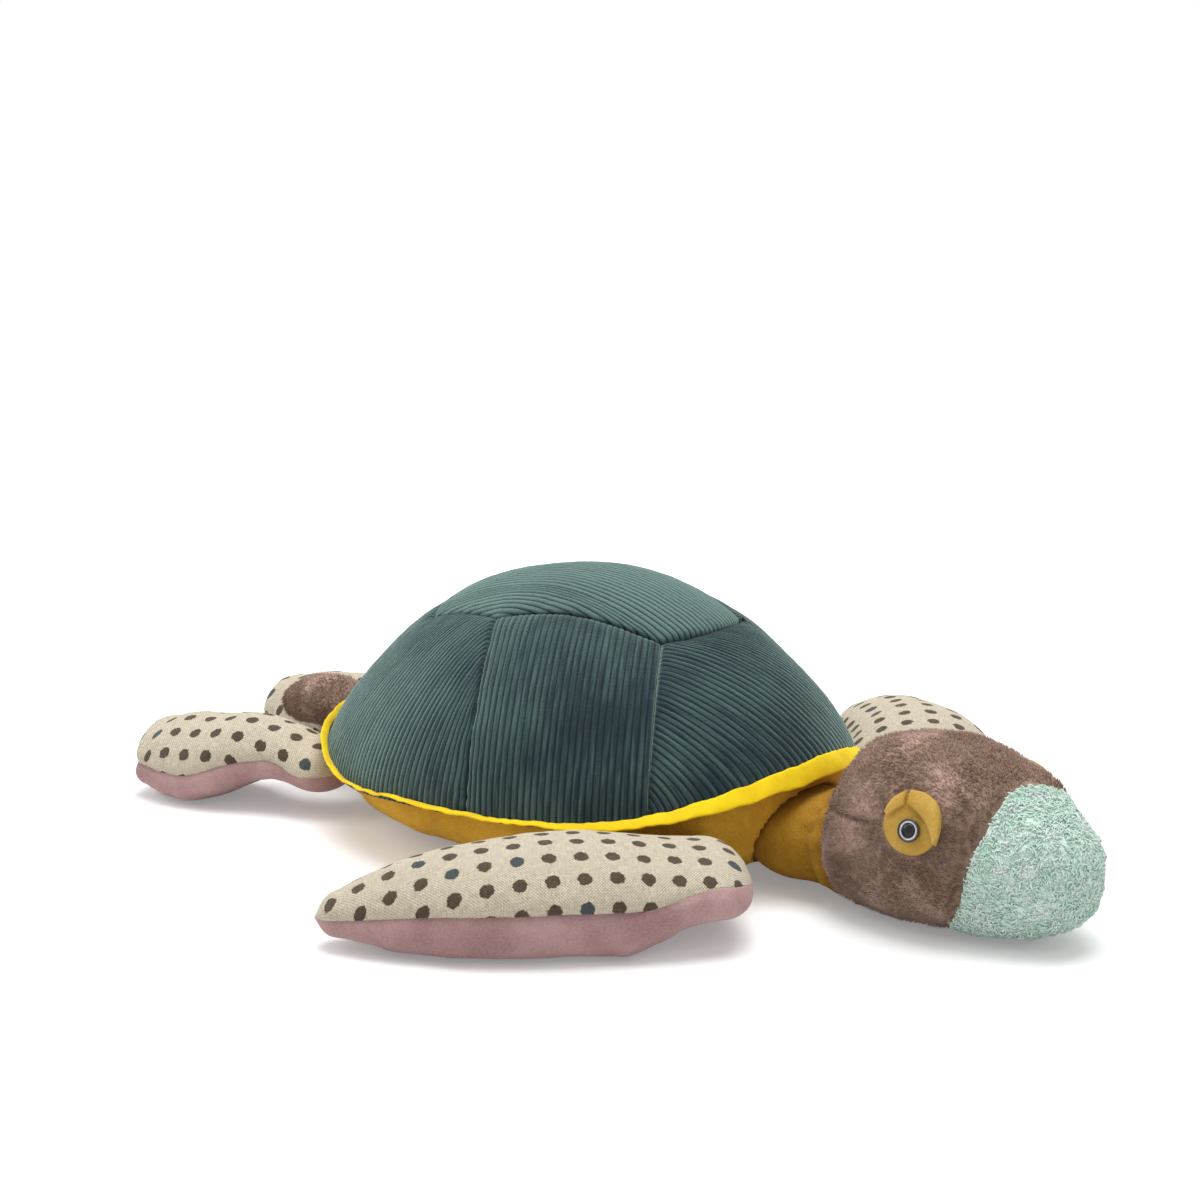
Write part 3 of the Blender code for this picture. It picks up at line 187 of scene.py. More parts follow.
def gridMesh(name, table):
    # a grid's mesh laid on a table of points
    rows, columns = table.shape[0], table.shape[1]
    sheet = bmesh.new()
    bmesh.ops.create_grid(sheet, x_segments=columns - 1, y_segments=rows - 1, size=0.5)
    mesh = meshFrom(sheet, name)
    points = readPoints(mesh)
    column = np.rint((points[:, 0] + 0.5) * (columns - 1)).astype(int)
    row = np.rint((points[:, 1] + 0.5) * (rows - 1)).astype(int)
    writePoints(mesh, table[row, column])
    return mesh, row, column


def faceOutward(mesh, centre):
    # turns all faces round where most of them look at the centre
    total = 0.0
    for polygon in mesh.polygons:
        total += (polygon.center - Vector(centre)).dot(polygon.normal) * polygon.area
    if total < 0:
        mesh.flip_normals()


def mendNormals(mesh):
    shape = bmesh.new()
    shape.from_mesh(mesh)
    bmesh.ops.recalc_face_normals(shape, faces=shape.faces[:])
    shape.to_mesh(mesh)
    shape.free()


def keepNumbers(mesh, name, values):
    kind = "FLOAT" if np.ndim(values) == 1 else "FLOAT_VECTOR"
    layer = mesh.attributes.new(name, kind, "POINT")
    layer.data.foreach_set("value" if kind == "FLOAT" else "vector",
                           np.ascontiguousarray(values, dtype=float).ravel())


def addPiece(name, mesh, material, body=None, nodes=(), cloth=0.0):
    piece = bpy.data.objects.new(name, mesh)
    bpy.context.collection.objects.link(piece)
    mesh.materials.clear()
    mesh.materials.append(material)
    mesh.shade_smooth()
    if cloth:
        wall = piece.modifiers.new("Cloth", "SOLIDIFY")
        wall.thickness = cloth
        wall.offset = -1
        wall.use_rim = True
    if body:
        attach(piece, body)
    if nodes:
        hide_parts(*nodes)
    return piece


def addStuffing(name, table, body, node):
    mesh = ballMesh(name, table)[0]
    faceOutward(mesh, table.reshape(-1, 3).mean(0))
    return addPiece(name, mesh, finishes["fibre"], body, [node])


def scatter(name, template, matrices):
    # many copies of a small mesh as one mesh: an array in place, then each copy is moved
    holder = bpy.data.objects.new(name, template)
    bpy.context.collection.objects.link(holder)
    rows = holder.modifiers.new("Copies", "ARRAY")
    rows.use_relative_offset = False
    rows.use_constant_offset = False
    rows.count = len(matrices)
    bpy.context.view_layer.update()
    ready = holder.evaluated_get(bpy.context.evaluated_depsgraph_get())
    mesh = bpy.data.meshes.new_from_object(ready)
    bpy.data.objects.remove(holder)
    mesh.name = name
    pattern = readPoints(template)
    turned = np.einsum("nij,mj->nmi", matrices[:, :, :3], pattern) + matrices[:, None, :, 3]
    writePoints(mesh, turned.reshape(-1, 3))
    return mesh


# Materials

def tone(red, green, blue):
    parts = [v / 255 for v in (red, green, blue)]
    return tuple(v / 12.92 if v <= 0.04045 else ((v + 0.055) / 1.055) ** 2.4 for v in parts) + (1,)


def addNode(tree, kind, inputs=(), **settings):
    node = tree.nodes.new(kind)
    for key, value in settings.items():
        setattr(node, key, value)
    for key, value in dict(inputs).items():
        if isinstance(value, bpy.types.NodeSocket):
            tree.links.new(value, node.inputs[key])
        else:
            node.inputs[key].default_value = value
    return node


def newMaterial(name, roughness=0.9, sheen=0.0, sheenRoughness=0.5, sheenTint=(1, 1, 1, 1),
                metallic=0.0, coat=0.0, specular=0.3):
    material = bpy.data.materials.new(name)
    material.use_nodes = True
    tree = material.node_tree
    shader = tree.nodes["Principled BSDF"]
    for key, value in {"Roughness": roughness, "Metallic": metallic, "Sheen Weight": sheen,
                       "Sheen Roughness": sheenRoughness, "Sheen Tint": sheenTint,
                       "Coat Weight": coat, "Coat Roughness": 0.05, "IOR": 1.5,
                       "Specular IOR Level": specular}.items():
        shader.inputs[key].default_value = value
    return material, tree, shader


def objectPoint(tree):
    return addNode(tree, "ShaderNodeTexCoord").outputs["Object"]


def attribute(tree, name, output="Fac"):
    return addNode(tree, "ShaderNodeAttribute", attribute_name=name).outputs[output]


def noiseOf(tree, place, scale, detail=2.0, roughness=0.5):
    node = addNode(tree, "ShaderNodeTexNoise", {"Vector": place, "Scale": scale, "Detail": detail,
                                                "Roughness": roughness})
    return node.outputs["Fac"]


def ramp(tree, value, low, high, start=0.0, end=1.0):
    node = addNode(tree, "ShaderNodeMapRange", {"Value": value, "From Min": low, "From Max": high,
                                                "To Min": start, "To Max": end})
    return node.outputs["Result"]


def calc(tree, operation, first, second=0.0):
    return addNode(tree, "ShaderNodeMath", {0: first, 1: second}, operation=operation).outputs[0]


def vectorCalc(tree, operation, first, second):
    node = addNode(tree, "ShaderNodeVectorMath", {0: first, 1: second}, operation=operation)
    return node.outputs[0]


def mixed(tree, share, first, second):
    node = addNode(tree, "ShaderNodeMix", {0: share, 6: first, 7: second}, data_type="RGBA")
    return node.outputs[2]


def painted(tree, shader, share, first, second):
    tree.links.new(mixed(tree, share, first, second), shader.inputs["Base Color"])


def bumped(tree, shader, height, distance):
    node = addNode(tree, "ShaderNodeBump", {"Height": height, "Distance": distance,
                                            "Strength": 1.0})
    tree.links.new(node.outputs[0], shader.inputs["Normal"])


def corduroyMaterial():
    # pile runs along the wales: dark between them, the bare ground there with painted shade, and pale
    # where it is seen from the side
    material, tree, shader = newMaterial("corduroyTeal", roughness=0.85, sheen=0.8,
                                         sheenRoughness=0.45, sheenTint=tone(190, 220, 210),
                                         specular=0.15)
    place = objectPoint(tree)
    wale = attribute(tree, "wale")
    run = vectorCalc(tree, "MULTIPLY", attribute(tree, "flat", "Vector"), (420, 36, 1))
    crush = noiseOf(tree, place, 17, 2, 0.5)
    streak = noiseOf(tree, run, 1, 2, 0.6)
    fine = noiseOf(tree, place, 700, 2, 0.6)
    # painted light: the panel's tone level, painted lighter on the top panel and darker on the sides
    # and along the seams
    level = calc(tree, "ADD", attribute(tree, "nap"), ramp(tree, crush, 0.3, 0.7, -0.26, 0.26))
    level = calc(tree, "ADD", level, ramp(tree, streak, 0.3, 0.75, -0.22, 0.42))
    deep = mixed(tree, ramp(tree, level, 0, 1), tone(31, 48, 56), tone(92, 118, 116))
    # painted shade in the grooves between the wales, over the bare ground's darker tone
    groove = mixed(tree, ramp(tree, wale, 0.1, 0.9), tone(11, 18, 24), deep)
    painted(tree, shader, ramp(tree, fine, 0.3, 0.8, 0.0, 0.3), groove, tone(30, 46, 52))
    bumped(tree, shader, fine, 0.0004)
    return material


def rimCottonMaterial():
    material, tree, shader = newMaterial("rimCottonYellow", roughness=0.85, sheen=0.2,
                                         sheenTint=tone(255, 240, 150))
    place = objectPoint(tree)
    soft = noiseOf(tree, place, 60, 2)
    weave = noiseOf(tree, place, 1400, 1)
    painted(tree, shader, ramp(tree, soft, 0.3, 0.7), tone(236, 196, 4), tone(254, 220, 10))
    bumped(tree, shader, calc(tree, "ADD", weave, calc(tree, "MULTIPLY", soft, 3.0)), 0.0003)
    return material


def velvetMaterial(name, dark, middle, light, sheen):
    # short pile: cloudy where it has been stroked
    material, tree, shader = newMaterial(name, roughness=0.9, sheen=sheen, sheenRoughness=0.4,
                                         sheenTint=light, specular=0.15)
    place = objectPoint(tree)
    cloud = noiseOf(tree, place, 32, 3, 0.55)
    pile = noiseOf(tree, place, 900, 2, 0.7)
    base = mixed(tree, ramp(tree, cloud, 0.32, 0.7), dark, middle)
    painted(tree, shader, ramp(tree, pile, 0.35, 0.9, 0.0, 0.4), base, light)
    bumped(tree, shader, pile, 0.0006)
    return material


dots = {"pitch": 0.0162, "radius": 0.0038, "ragged": 0.0009, "yarn": 0.00085}


def linenMaterial():
    # plain weave with printed dots, both laid out on the cut piece of cloth
    material, tree, shader = newMaterial("dottedLinen", roughness=0.92, sheen=0.12, specular=0.2)
    flat = attribute(tree, "flat", "Vector")
    threads = vectorCalc(tree, "MULTIPLY", flat, (1 / dots["yarn"],) * 3)
    parts = addNode(tree, "ShaderNodeSeparateXYZ", {0: threads})
    wave = [calc(tree, "SINE", calc(tree, "MULTIPLY", parts.outputs[k], math.pi)) for k in (0, 1)]
    weave = calc(tree, "MULTIPLY", *wave)
    slubs = [noiseOf(tree, vectorCalc(tree, "MULTIPLY", flat, scales), 1, 2)
             for scales in ((160, 1500, 1), (1500, 160, 1))]
    slub = calc(tree, "ADD", *slubs)
    wobble = addNode(tree, "ShaderNodeTexNoise", {"Vector": flat, "Scale": 520.0, "Detail": 3.0})
    shifted = vectorCalc(tree, "SUBTRACT", wobble.outputs["Color"], (0.5, 0.5, 0))
    shifted = vectorCalc(tree, "MULTIPLY", shifted, (dots["ragged"] * 3,) * 3)
    ragged = vectorCalc(tree, "ADD", flat, shifted)
    axes = addNode(tree, "ShaderNodeSeparateXYZ", {0: ragged})
    squares, cells = [], []
    for axis in (0, 1):
        count = calc(tree, "DIVIDE", axes.outputs[axis], dots["pitch"])
        cells.append(calc(tree, "FLOOR", count))
        away = calc(tree, "SUBTRACT", calc(tree, "FRACT", count), 0.5)
        squares.append(calc(tree, "MULTIPLY", away, away))
    reach = calc(tree, "SQRT", calc(tree, "ADD", *squares))
    size = dots["radius"] / dots["pitch"]
    inside = ramp(tree, reach, size * 1.07, size * 0.93)
    cell = addNode(tree, "ShaderNodeCombineXYZ", {0: cells[0], 1: cells[1]}).outputs[0]
    pick = addNode(tree, "ShaderNodeTexWhiteNoise", {0: cell}).outputs["Value"]
    ground = mixed(tree, ramp(tree, slub, 0.7, 1.3), tone(190, 177, 153), tone(231, 221, 200))
    ground = mixed(tree, ramp(tree, weave, -1.0, 0.2, 0.45, 0.0), ground, tone(128, 112, 92))
    ink = mixed(tree, ramp(tree, pick, 0.85, 0.86), tone(68, 54, 41), tone(46, 66, 75))
    ink = mixed(tree, ramp(tree, slub, 0.7, 1.3, 0.0, 0.35), ink, tone(132, 116, 96))
    painted(tree, shader, inside, ground, ink)
    bumped(tree, shader, calc(tree, "ADD", weave, slub), 0.00022)
    return material


def furMaterial(name, locks):
    # brown pile with rosy patches of painted sheen where the pile lies the other way
    material, tree, shader = newMaterial(name, roughness=0.9, sheen=0.55, sheenRoughness=0.6,
                                         sheenTint=tone(205, 175, 165), specular=0.12)
    place = objectPoint(tree)
    patch = noiseOf(tree, place, 38, 2, 0.45)
    small = noiseOf(tree, place, 120, 2, 0.6)
    pile = noiseOf(tree, place, 800, 2, 0.6)
    base = mixed(tree, ramp(tree, patch, 0.40, 0.56), tone(134, 110, 93), tone(158, 134, 117))
    # painted sheen: rosy patches and flecks where the pile catches the light
    base = mixed(tree, ramp(tree, patch, 0.55, 0.68), base, tone(192, 160, 148))
    base = mixed(tree, ramp(tree, small, 0.54, 0.75, 0.0, 0.35), base, tone(178, 148, 138))
    base = mixed(tree, ramp(tree, small, 0.25, 0.40, 0.22, 0.0), base, tone(104, 84, 70))
    if locks:
        hue = attribute(tree, "lock")
        base = mixed(tree, ramp(tree, hue, 0.6, 1.0, 0.0, 0.18), base, tone(196, 166, 154))
        base = mixed(tree, ramp(tree, hue, 0.0, 0.3, 0.12, 0.0), base, tone(100, 80, 68))
    painted(tree, shader, ramp(tree, pile, 0.2, 0.6, 0.10, 0.0), base, tone(92, 74, 62))
    bumped(tree, shader, calc(tree, "ADD", small, pile), 0.0010)
    return material


def terryMaterial():
    material, tree, shader = newMaterial("mintTerry", roughness=0.95, sheen=0.9,
                                         sheenTint=tone(225, 245, 235), specular=0.12)
    place = objectPoint(tree)
    clump = noiseOf(tree, place, 120, 2, 0.5)
    yarn = noiseOf(tree, place, 1100, 2, 0.6)
    base = mixed(tree, ramp(tree, clump, 0.3, 0.7), tone(214, 246, 229), tone(244, 255, 249))
    painted(tree, shader, ramp(tree, yarn, 0.25, 0.7, 0.12, 0.0), base, tone(164, 208, 186))
    bumped(tree, shader, calc(tree, "ADD", clump, yarn), 0.0008)
    return material


def feltMaterial():
    material, tree, shader = newMaterial("yellowFelt", roughness=0.95, sheen=0.25,
                                         sheenTint=tone(250, 225, 150), specular=0.1)
    place = objectPoint(tree)
    fuzz = noiseOf(tree, place, 700, 3, 0.7)
    cloud = noiseOf(tree, place, 90, 2)
    base = mixed(tree, ramp(tree, cloud, 0.3, 0.7), tone(190, 149, 66), tone(212, 176, 92))
    painted(tree, shader, ramp(tree, fuzz, 0.3, 0.7, 0.0, 0.4), base, tone(172, 125, 42))
    bumped(tree, shader, fuzz, 0.0005)
    return material


def plainMaterial(name, colour, shade, scale, depth, **finish):
    # a fine grain over one colour, for plastic, cut edges and filling
    material, tree, shader = newMaterial(name, **finish)
    grain = noiseOf(tree, objectPoint(tree), scale, 3, 0.6)
    painted(tree, shader, ramp(tree, grain, 0.3, 0.7), shade, colour)
    bumped(tree, shader, grain, depth)
    return material


finishes = {
    "corduroy": corduroyMaterial(),
    "corduroyEdge": plainMaterial("corduroyEdge", tone(26, 38, 44), tone(16, 25, 30), 900, 0.0003),
    "rim": rimCottonMaterial(),
    "mustard": velvetMaterial("mustardVelvet", tone(178, 126, 22), tone(222, 168, 46),
                              tone(240, 204, 110), 0.4),
    # painted shade: a darker copy of the mustard velvet for the neck, which lies in shade under the
    # rim and the head
    "neckMustardShaded": velvetMaterial("neckVelvetShaded", tone(134, 92, 14), tone(180, 130, 32),
                                  tone(220, 182, 92), 0.3),
    "mauve": velvetMaterial("mauveVelvet", tone(152, 116, 116), tone(188, 152, 150),
                            tone(220, 194, 190), 0.6),
    "linen": linenMaterial(),
    "fur": furMaterial("brownFur", False),
    "lock": furMaterial("brownFurLocks", True),
    "terry": terryMaterial(),
    "felt": feltMaterial(),
    "bezel": plainMaterial("eyeRim", tone(44, 42, 40), tone(30, 29, 28), 300, 0.00002,
                           roughness=0.28, coat=0.4, specular=0.5),
    "ring": plainMaterial("eyeRing", tone(206, 206, 202), tone(170, 172, 170), 500, 0.00001,
                          roughness=0.3, metallic=0.85, specular=0.5),
    "pupil": plainMaterial("eyePupil", tone(20, 25, 31), tone(8, 10, 13), 200, 0.000004,
                           roughness=0.10, coat=0.15, specular=0.25),
    "nylon": plainMaterial("washerNylon", tone(228, 226, 218), tone(206, 204, 196), 260, 0.00003,
                           roughness=0.5, specular=0.4),
    "fibre": plainMaterial("stuffingFibre", tone(238, 236, 230), tone(206, 204, 198), 420, 0.002,
                           roughness=0.95, sheen=0.3),
}
print("materials ready")


# The torso's surface

def rimHeight(angle):
    # raised over the neck and the tail, lowest by the hips
    ahead, behind = np.maximum(0, np.cos(angle)) ** 4, np.maximum(0, -np.cos(angle)) ** 5
    turned = np.degrees(np.arccos(np.clip(np.cos(angle), -1, 1)))
    dip = shell["hipDip"] * bell(turned - shell["hipAngle"], shell["hipSpread"])
    return shell["sideHeight"] + shell["frontRise"] * ahead + shell["rearRise"] * behind - dip


def rimPoint(angle, inset=0.0):
    length = np.where(np.cos(angle) > 0, shell["front"], shell["rear"]) - inset
    width = shell["halfWidth"] + shell["egg"] * np.cos(angle) - inset
    return np.stack([shellX + length * np.cos(angle), width * np.sin(angle),
                     rimHeight(angle) + 0 * angle], -1)


def domePoint(x, y):
    # the dome's point over a place in plan, x from the shell's middle
    length = np.where(x > 0, shell["front"], shell["rear"])
    angle = np.arctan2(y / shell["halfWidth"], x / length)
    for _ in range(5):
        width = shell["halfWidth"] + shell["egg"] * np.cos(angle)
        angle = np.arctan2(y / width, x / length)
    spread = np.clip(np.hypot(x / length, y / width), 0, 1)
    rise = np.arccos(spread ** (1 / shell["spreadPower"]))
    lift = np.sin(rise) ** (shell["sideLiftPower"] + shell["endLiftPower"] * np.cos(angle) ** 2)
    low = rimHeight(angle)
    return np.stack([shellX + x, y, low + (shell["top"] - low) * lift], -1)


def hexagonX(y, end):
    # x of the top panel's front (end 1) or rear (end -1) outline at y
    cornerX, cornerY = shell["frontCorner"] if end > 0 else shell["rearCorner"]
    sideX, sideY = shell["sideCorner"]
    away = np.abs(y)
    bowed = cornerX + end * shell["endBow"] * (1 - (away / cornerY) ** 2)
    slanted = cornerX + (away - cornerY) * (sideX - cornerX) / (sideY - cornerY)
    return np.where(away <= cornerY, bowed, slanted)


def planLine(corners, steps):
    # evenly spaced points along a broken line in plan
    corners = np.array(corners)
    run = runAlong(corners)
    return pointsAt(corners, run, np.linspace(0, run[-1], steps))


def seamLines():
    # every seam of the shell as points in plan
    lines = []
    for side in (-1, 1):
        y = np.linspace(shell["frontCorner"][1], shell["sideCorner"][1], 60)
        for end in (-1, 1):
            lines.append(np.stack([hexagonX(y, end), y * side], -1))
        for corner, rimEnd in (("sideCorner", "rearSeamRim"), ("frontCorner", "frontSeamRim")):
            line = planLine([shell[corner], shell[rimEnd]], 80)
            lines.append(line * (1, side))
    y = np.linspace(-shell["frontCorner"][1], shell["frontCorner"][1], 120)
    for end in (-1, 1):
        lines.append(np.stack([hexagonX(y, end), y], -1))
    return np.concatenate(lines)


def treeOf(points):
    tree = kdtree.KDTree(len(points))
    for index, point in enumerate(points):
        tree.insert(Vector(point), index)
    tree.balance()
    return tree


def distanceTo(tree, points):
    flat = np.asarray(points).reshape(-1, 3)
    return np.array([tree.find(Vector(p))[2] for p in flat]).reshape(np.shape(points)[:-1])


seamPlan = seamLines()
seamTree = treeOf(domePoint(seamPlan[:, 0], seamPlan[:, 1]))


def panelTable(starts, ends):
    # wales run from start to end; lines are even by the length across the panel's middle
    run = runAlong(domePoint(*((starts + ends) / 2).T))
    wales = max(4, int(run[-1] / shell["walePitch"]))
    count = wales * shell["linesPerWale"] + 1
    at = np.linspace(0, run[-1], count)
    start, end = pointsAt(starts, run, at), pointsAt(ends, run, at)
    longest = np.linalg.norm(domePoint(*starts.T) - domePoint(*ends.T), axis=1).max()
    rows = max(8, int(longest * 1.15 / shell["rowStep"]))
    fine = np.linspace(0, 1, rows * 4)[:, None, None]
    plan = start[None] * (1 - fine) + end[None] * fine
    dense = domePoint(plan[..., 0], plan[..., 1])
    steps = np.linalg.norm(np.diff(dense, axis=0), axis=2)
    length = np.concatenate([np.zeros((1, count)), np.cumsum(steps, axis=0)])
    table = np.empty((rows, count, 3))
    for column in range(count):
        even = np.linspace(0, length[-1, column], rows)
        for axis in range(3):
            table[:, column, axis] = np.interp(even, length[:, column], dense[:, column, axis])
    share = (np.arange(count) / shell["linesPerWale"]) % 1.0
    across = np.arange(count) / shell["linesPerWale"] * shell["walePitch"]
    down = np.linspace(0, 1, rows)[:, None] * length[-1:]
    flat = np.stack([np.broadcast_to(across, (rows, count)), down, 0 * down], -1)
    return table, np.broadcast_to(share, (rows, count)), flat


def makePanel(name, node, starts, ends, seed, tuck=True):
    table, share, flat = panelTable(starts, ends)
    normals = tableNormals(table, closed=False)
    normals *= np.sign(normals[..., 2:3].mean())
    seam = distanceTo(seamTree, table)
    height = -(shell["grooveDepth"] * bell(seam, shell["grooveWidth"])
               + shell["creaseDepth"] * bell(seam, shell["creaseWidth"])
               + shell["swell"] * bell(seam, shell["swellWidth"]))
    ridge = 1 - np.abs(2 * share - 1) ** shell["ridgePower"]
    puckers = layered(table, [shell["pucker"]], seed) * bell(seam, shell["puckerWidth"])
    uneven = 1 + layered(table, [shell["uneven"]], seed)
    height = height + puckers + layered(table, shell["dents"], seed)
    height = height + shell["waleHeight"] * ridge * uneven
    # painted shade: the tone level drops along the seams
    shade, shadeWidth = shell["seamShade"]
    nap = shell["nap"][name] - shade * bell(seam, shadeWidth)
    height[:, [0, -1]] -= shell["tuck"]  # raw edges turn down into the seams
    height[0] -= shell["tuck"]
    height[-1] -= 0.0 if tuck else shell["tuck"]
    table = table + normals * height[..., None]
    if tuck:  # the lower edge goes on behind the band
        turned = table[-1:] - (shellX, 0, 0)
        hem = table[-1:] - (0, 0, shell["hemDrop"]) + turned * (shell["hemOut"], shell["hemOut"], 0)
        table = np.concatenate([table, hem])
        ridge, flat, nap = (np.concatenate([part, part[-1:]]) for part in (ridge, flat, nap))
    mesh, row, column = gridMesh(name, table)
    faceOutward(mesh, (shellX, 0, 0.03))
    keepNumbers(mesh, "wale", ridge[row, column])
    keepNumbers(mesh, "flat", flat[row, column] + (seed, 0, 0))
    keepNumbers(mesh, "nap", nap[row, column])
    piece = addPiece(name, mesh, finishes["corduroy"], "torso", [node],
                     cloth=shell["cloth"])
    mesh.materials.append(finishes["corduroyEdge"])
    piece.modifiers["Cloth"].material_offset_rim = 1


def makeShell():
    reach = shell["sideCorner"][1] - shell["cornerTrim"]
    y = np.linspace(-reach, reach, 400)
    makePanel("shellTop", "shell_top_panel", np.stack([hexagonX(y, -1), y], -1),
              np.stack([hexagonX(y, 1), y], -1), 1, tuck=False)
    sideX, sideY = shell["sideCorner"]
    rearX, rearY = shell["rearSeamRim"]
    seamX, seamY = shell["frontSeamRim"]
    angle = np.linspace(-math.pi, math.pi, 4001)
    rim = rimPoint(angle)[:, :2] - (shellX, 0)
    beside = (rim[:, 0] > rearX) & (rim[:, 0] < seamX) & (rim[:, 1] < 0)
    low = np.concatenate([[(rearX, -rearY)], rim[beside], [(seamX, -seamY)]])
    high = [(sideX, -sideY), shell["frontCorner"] * np.array((1, -1))]
    for side, label in ((1, "Right"), (-1, "Left")):
        makePanel("shell" + label, "shell_" + label.lower() + "_panel",
                  planLine(high, 600) * (1, side), planLine(low, 600) * (1, side), 4 + side)
    # the front panel is cut aslant: its wales run off the near seam and under the farther one
    edge = np.linspace(-shell["frontCorner"][1], shell["frontCorner"][1], 40)
    top = [(x, y) for x, y in zip(hexagonX(edge, 1), edge)]
    ahead = (np.abs(rim[:, 1]) < seamY) & (rim[:, 0] > 0)
    low = np.concatenate([[(seamX, -seamY)], rim[ahead], [(seamX, seamY)]])
    share = shell["slant"]
    near = np.array(top[0]) * (1 - share) + np.array((seamX, -seamY)) * share
    far = np.array((seamX, seamY)) * (1 - share) + np.array(top[-1]) * share
    makePanel("shellFront", "shell_front_panel", planLine([near] + top, 600),
              planLine(np.concatenate([low, [far]]), 600), 9)
    # the rear panel's wales fan out from the seam and the top panel down to the rim
    share = shell["rearShare"]
    hip = (sideX + (rearX - sideX) * share, sideY + (rearY - sideY) * share)
    back = np.linspace(-shell["rearCorner"][1], shell["rearCorner"][1], 40)
    path = [(hip[0], -hip[1]), (sideX, -sideY)]
    path += [(x, y) for x, y in zip(hexagonX(back, -1), back)]
    path += [(sideX, sideY), hip]
    angle = np.linspace(0, 2 * math.pi, 2001)
    rim = rimPoint(angle)[:, :2] - (shellX, 0)
    behind = rim[rim[:, 0] <= rearX + 0.0002][::-1]
    makePanel("shellRear", "shell_rear_panel", planLine(path, 600), planLine(behind, 600), 13)
    print("shell panels done")


makeShell()


def torsoPoint(share, angle):
    # the belly's side of the torso: a narrow ledge under the rim, then down to the floor
    turned = np.degrees(np.arccos(np.clip(np.cos(angle), -1, 1)))
    full = sum(bell(turned - way, spread) for way, spread in belly["swellings"])
    full = np.minimum(1, full)
    edge = rimPoint(angle, belly["inset"] * (1 - belly["rootShare"] * full))
    sink = math.pi / 2 * share
    spread = np.maximum(np.cos(sink), 0) ** (belly["sidePower"] - belly["rootPower"] * full)
    drop = (edge[..., 2] + 0.0005) * np.sin(sink) ** belly["sinkPower"]
    x = shellX + (edge[..., 0] - shellX) * spread
    return np.stack([x, edge[..., 1] * spread, edge[..., 2] - drop], -1)


def pushedOut(points, centre, radii, along, room=0.0):
    # points inside an oval are moved back to its far side, which leaves a seat for a root
    along = np.array(along) / np.linalg.norm(along)
    across = np.cross((0, 0, 1), along)
    sizes = np.array(radii) + room
    local = np.stack([(points - centre) @ along, (points - centre) @ across,
                      (points - centre)[..., 2]], -1) / sizes
    inside = 1 - local[..., 1] ** 2 - local[..., 2] ** 2
    far = -np.sqrt(np.maximum(inside, 0))
    wanted = np.where((inside > 0) & (local[..., 0] > far), far, local[..., 0])
    return points + ((wanted - local[..., 0]) * sizes[0])[..., None] * along


belly = {"inset": 0.010, "rootShare": 0.90, "sidePower": 0.90, "rootPower": 0.55,
         "sinkPower": 0.60, "swellings": ((0, 30), (27, 10), (153, 8), (180, 6)),
         "rows": 84, "columns": 400, "cloth": 0.0010, "gather": (18, 2, 0.0014),
         "dent": (45, 4, 0.0009), "loose": (0.004, 0.020), "lowered": 0.0006,
         "ledgeOut": 0.0006, "ledgeDrop": 0.0030, "underRim": 0.0016, "room": 0.0012,
         "floorGap": 0.0004, "fillColumns": 120, "fillFrom": 0.12, "fillReach": 0.985,
         "fillDepth": 0.0034, "seamDepth": 0.0056, "seamReach": 0.016, "fillRoom": 0.0042,
         "fillFloor": 0.0026}


def rootSeats():
    # centre, radii and outward direction of every root that sits in the torso
    seats = [(jointPlace["neck_turn"], (0.042, 0.042, 0.025), (1, 0, 0))]
    for limb in limbs:
        middle = Vector(limb["hinge"]) + Vector((0, 0, limb["rootUp"]))
        seats.append((middle, (limb["radius"], limb["rootWidth"], limb["rootHeight"]), limb["along"]))
    return seats


def seated(points, room):
    for centre, radii, along in rootSeats():
        points = pushedOut(points, np.array(centre), radii, along, room)
    return points


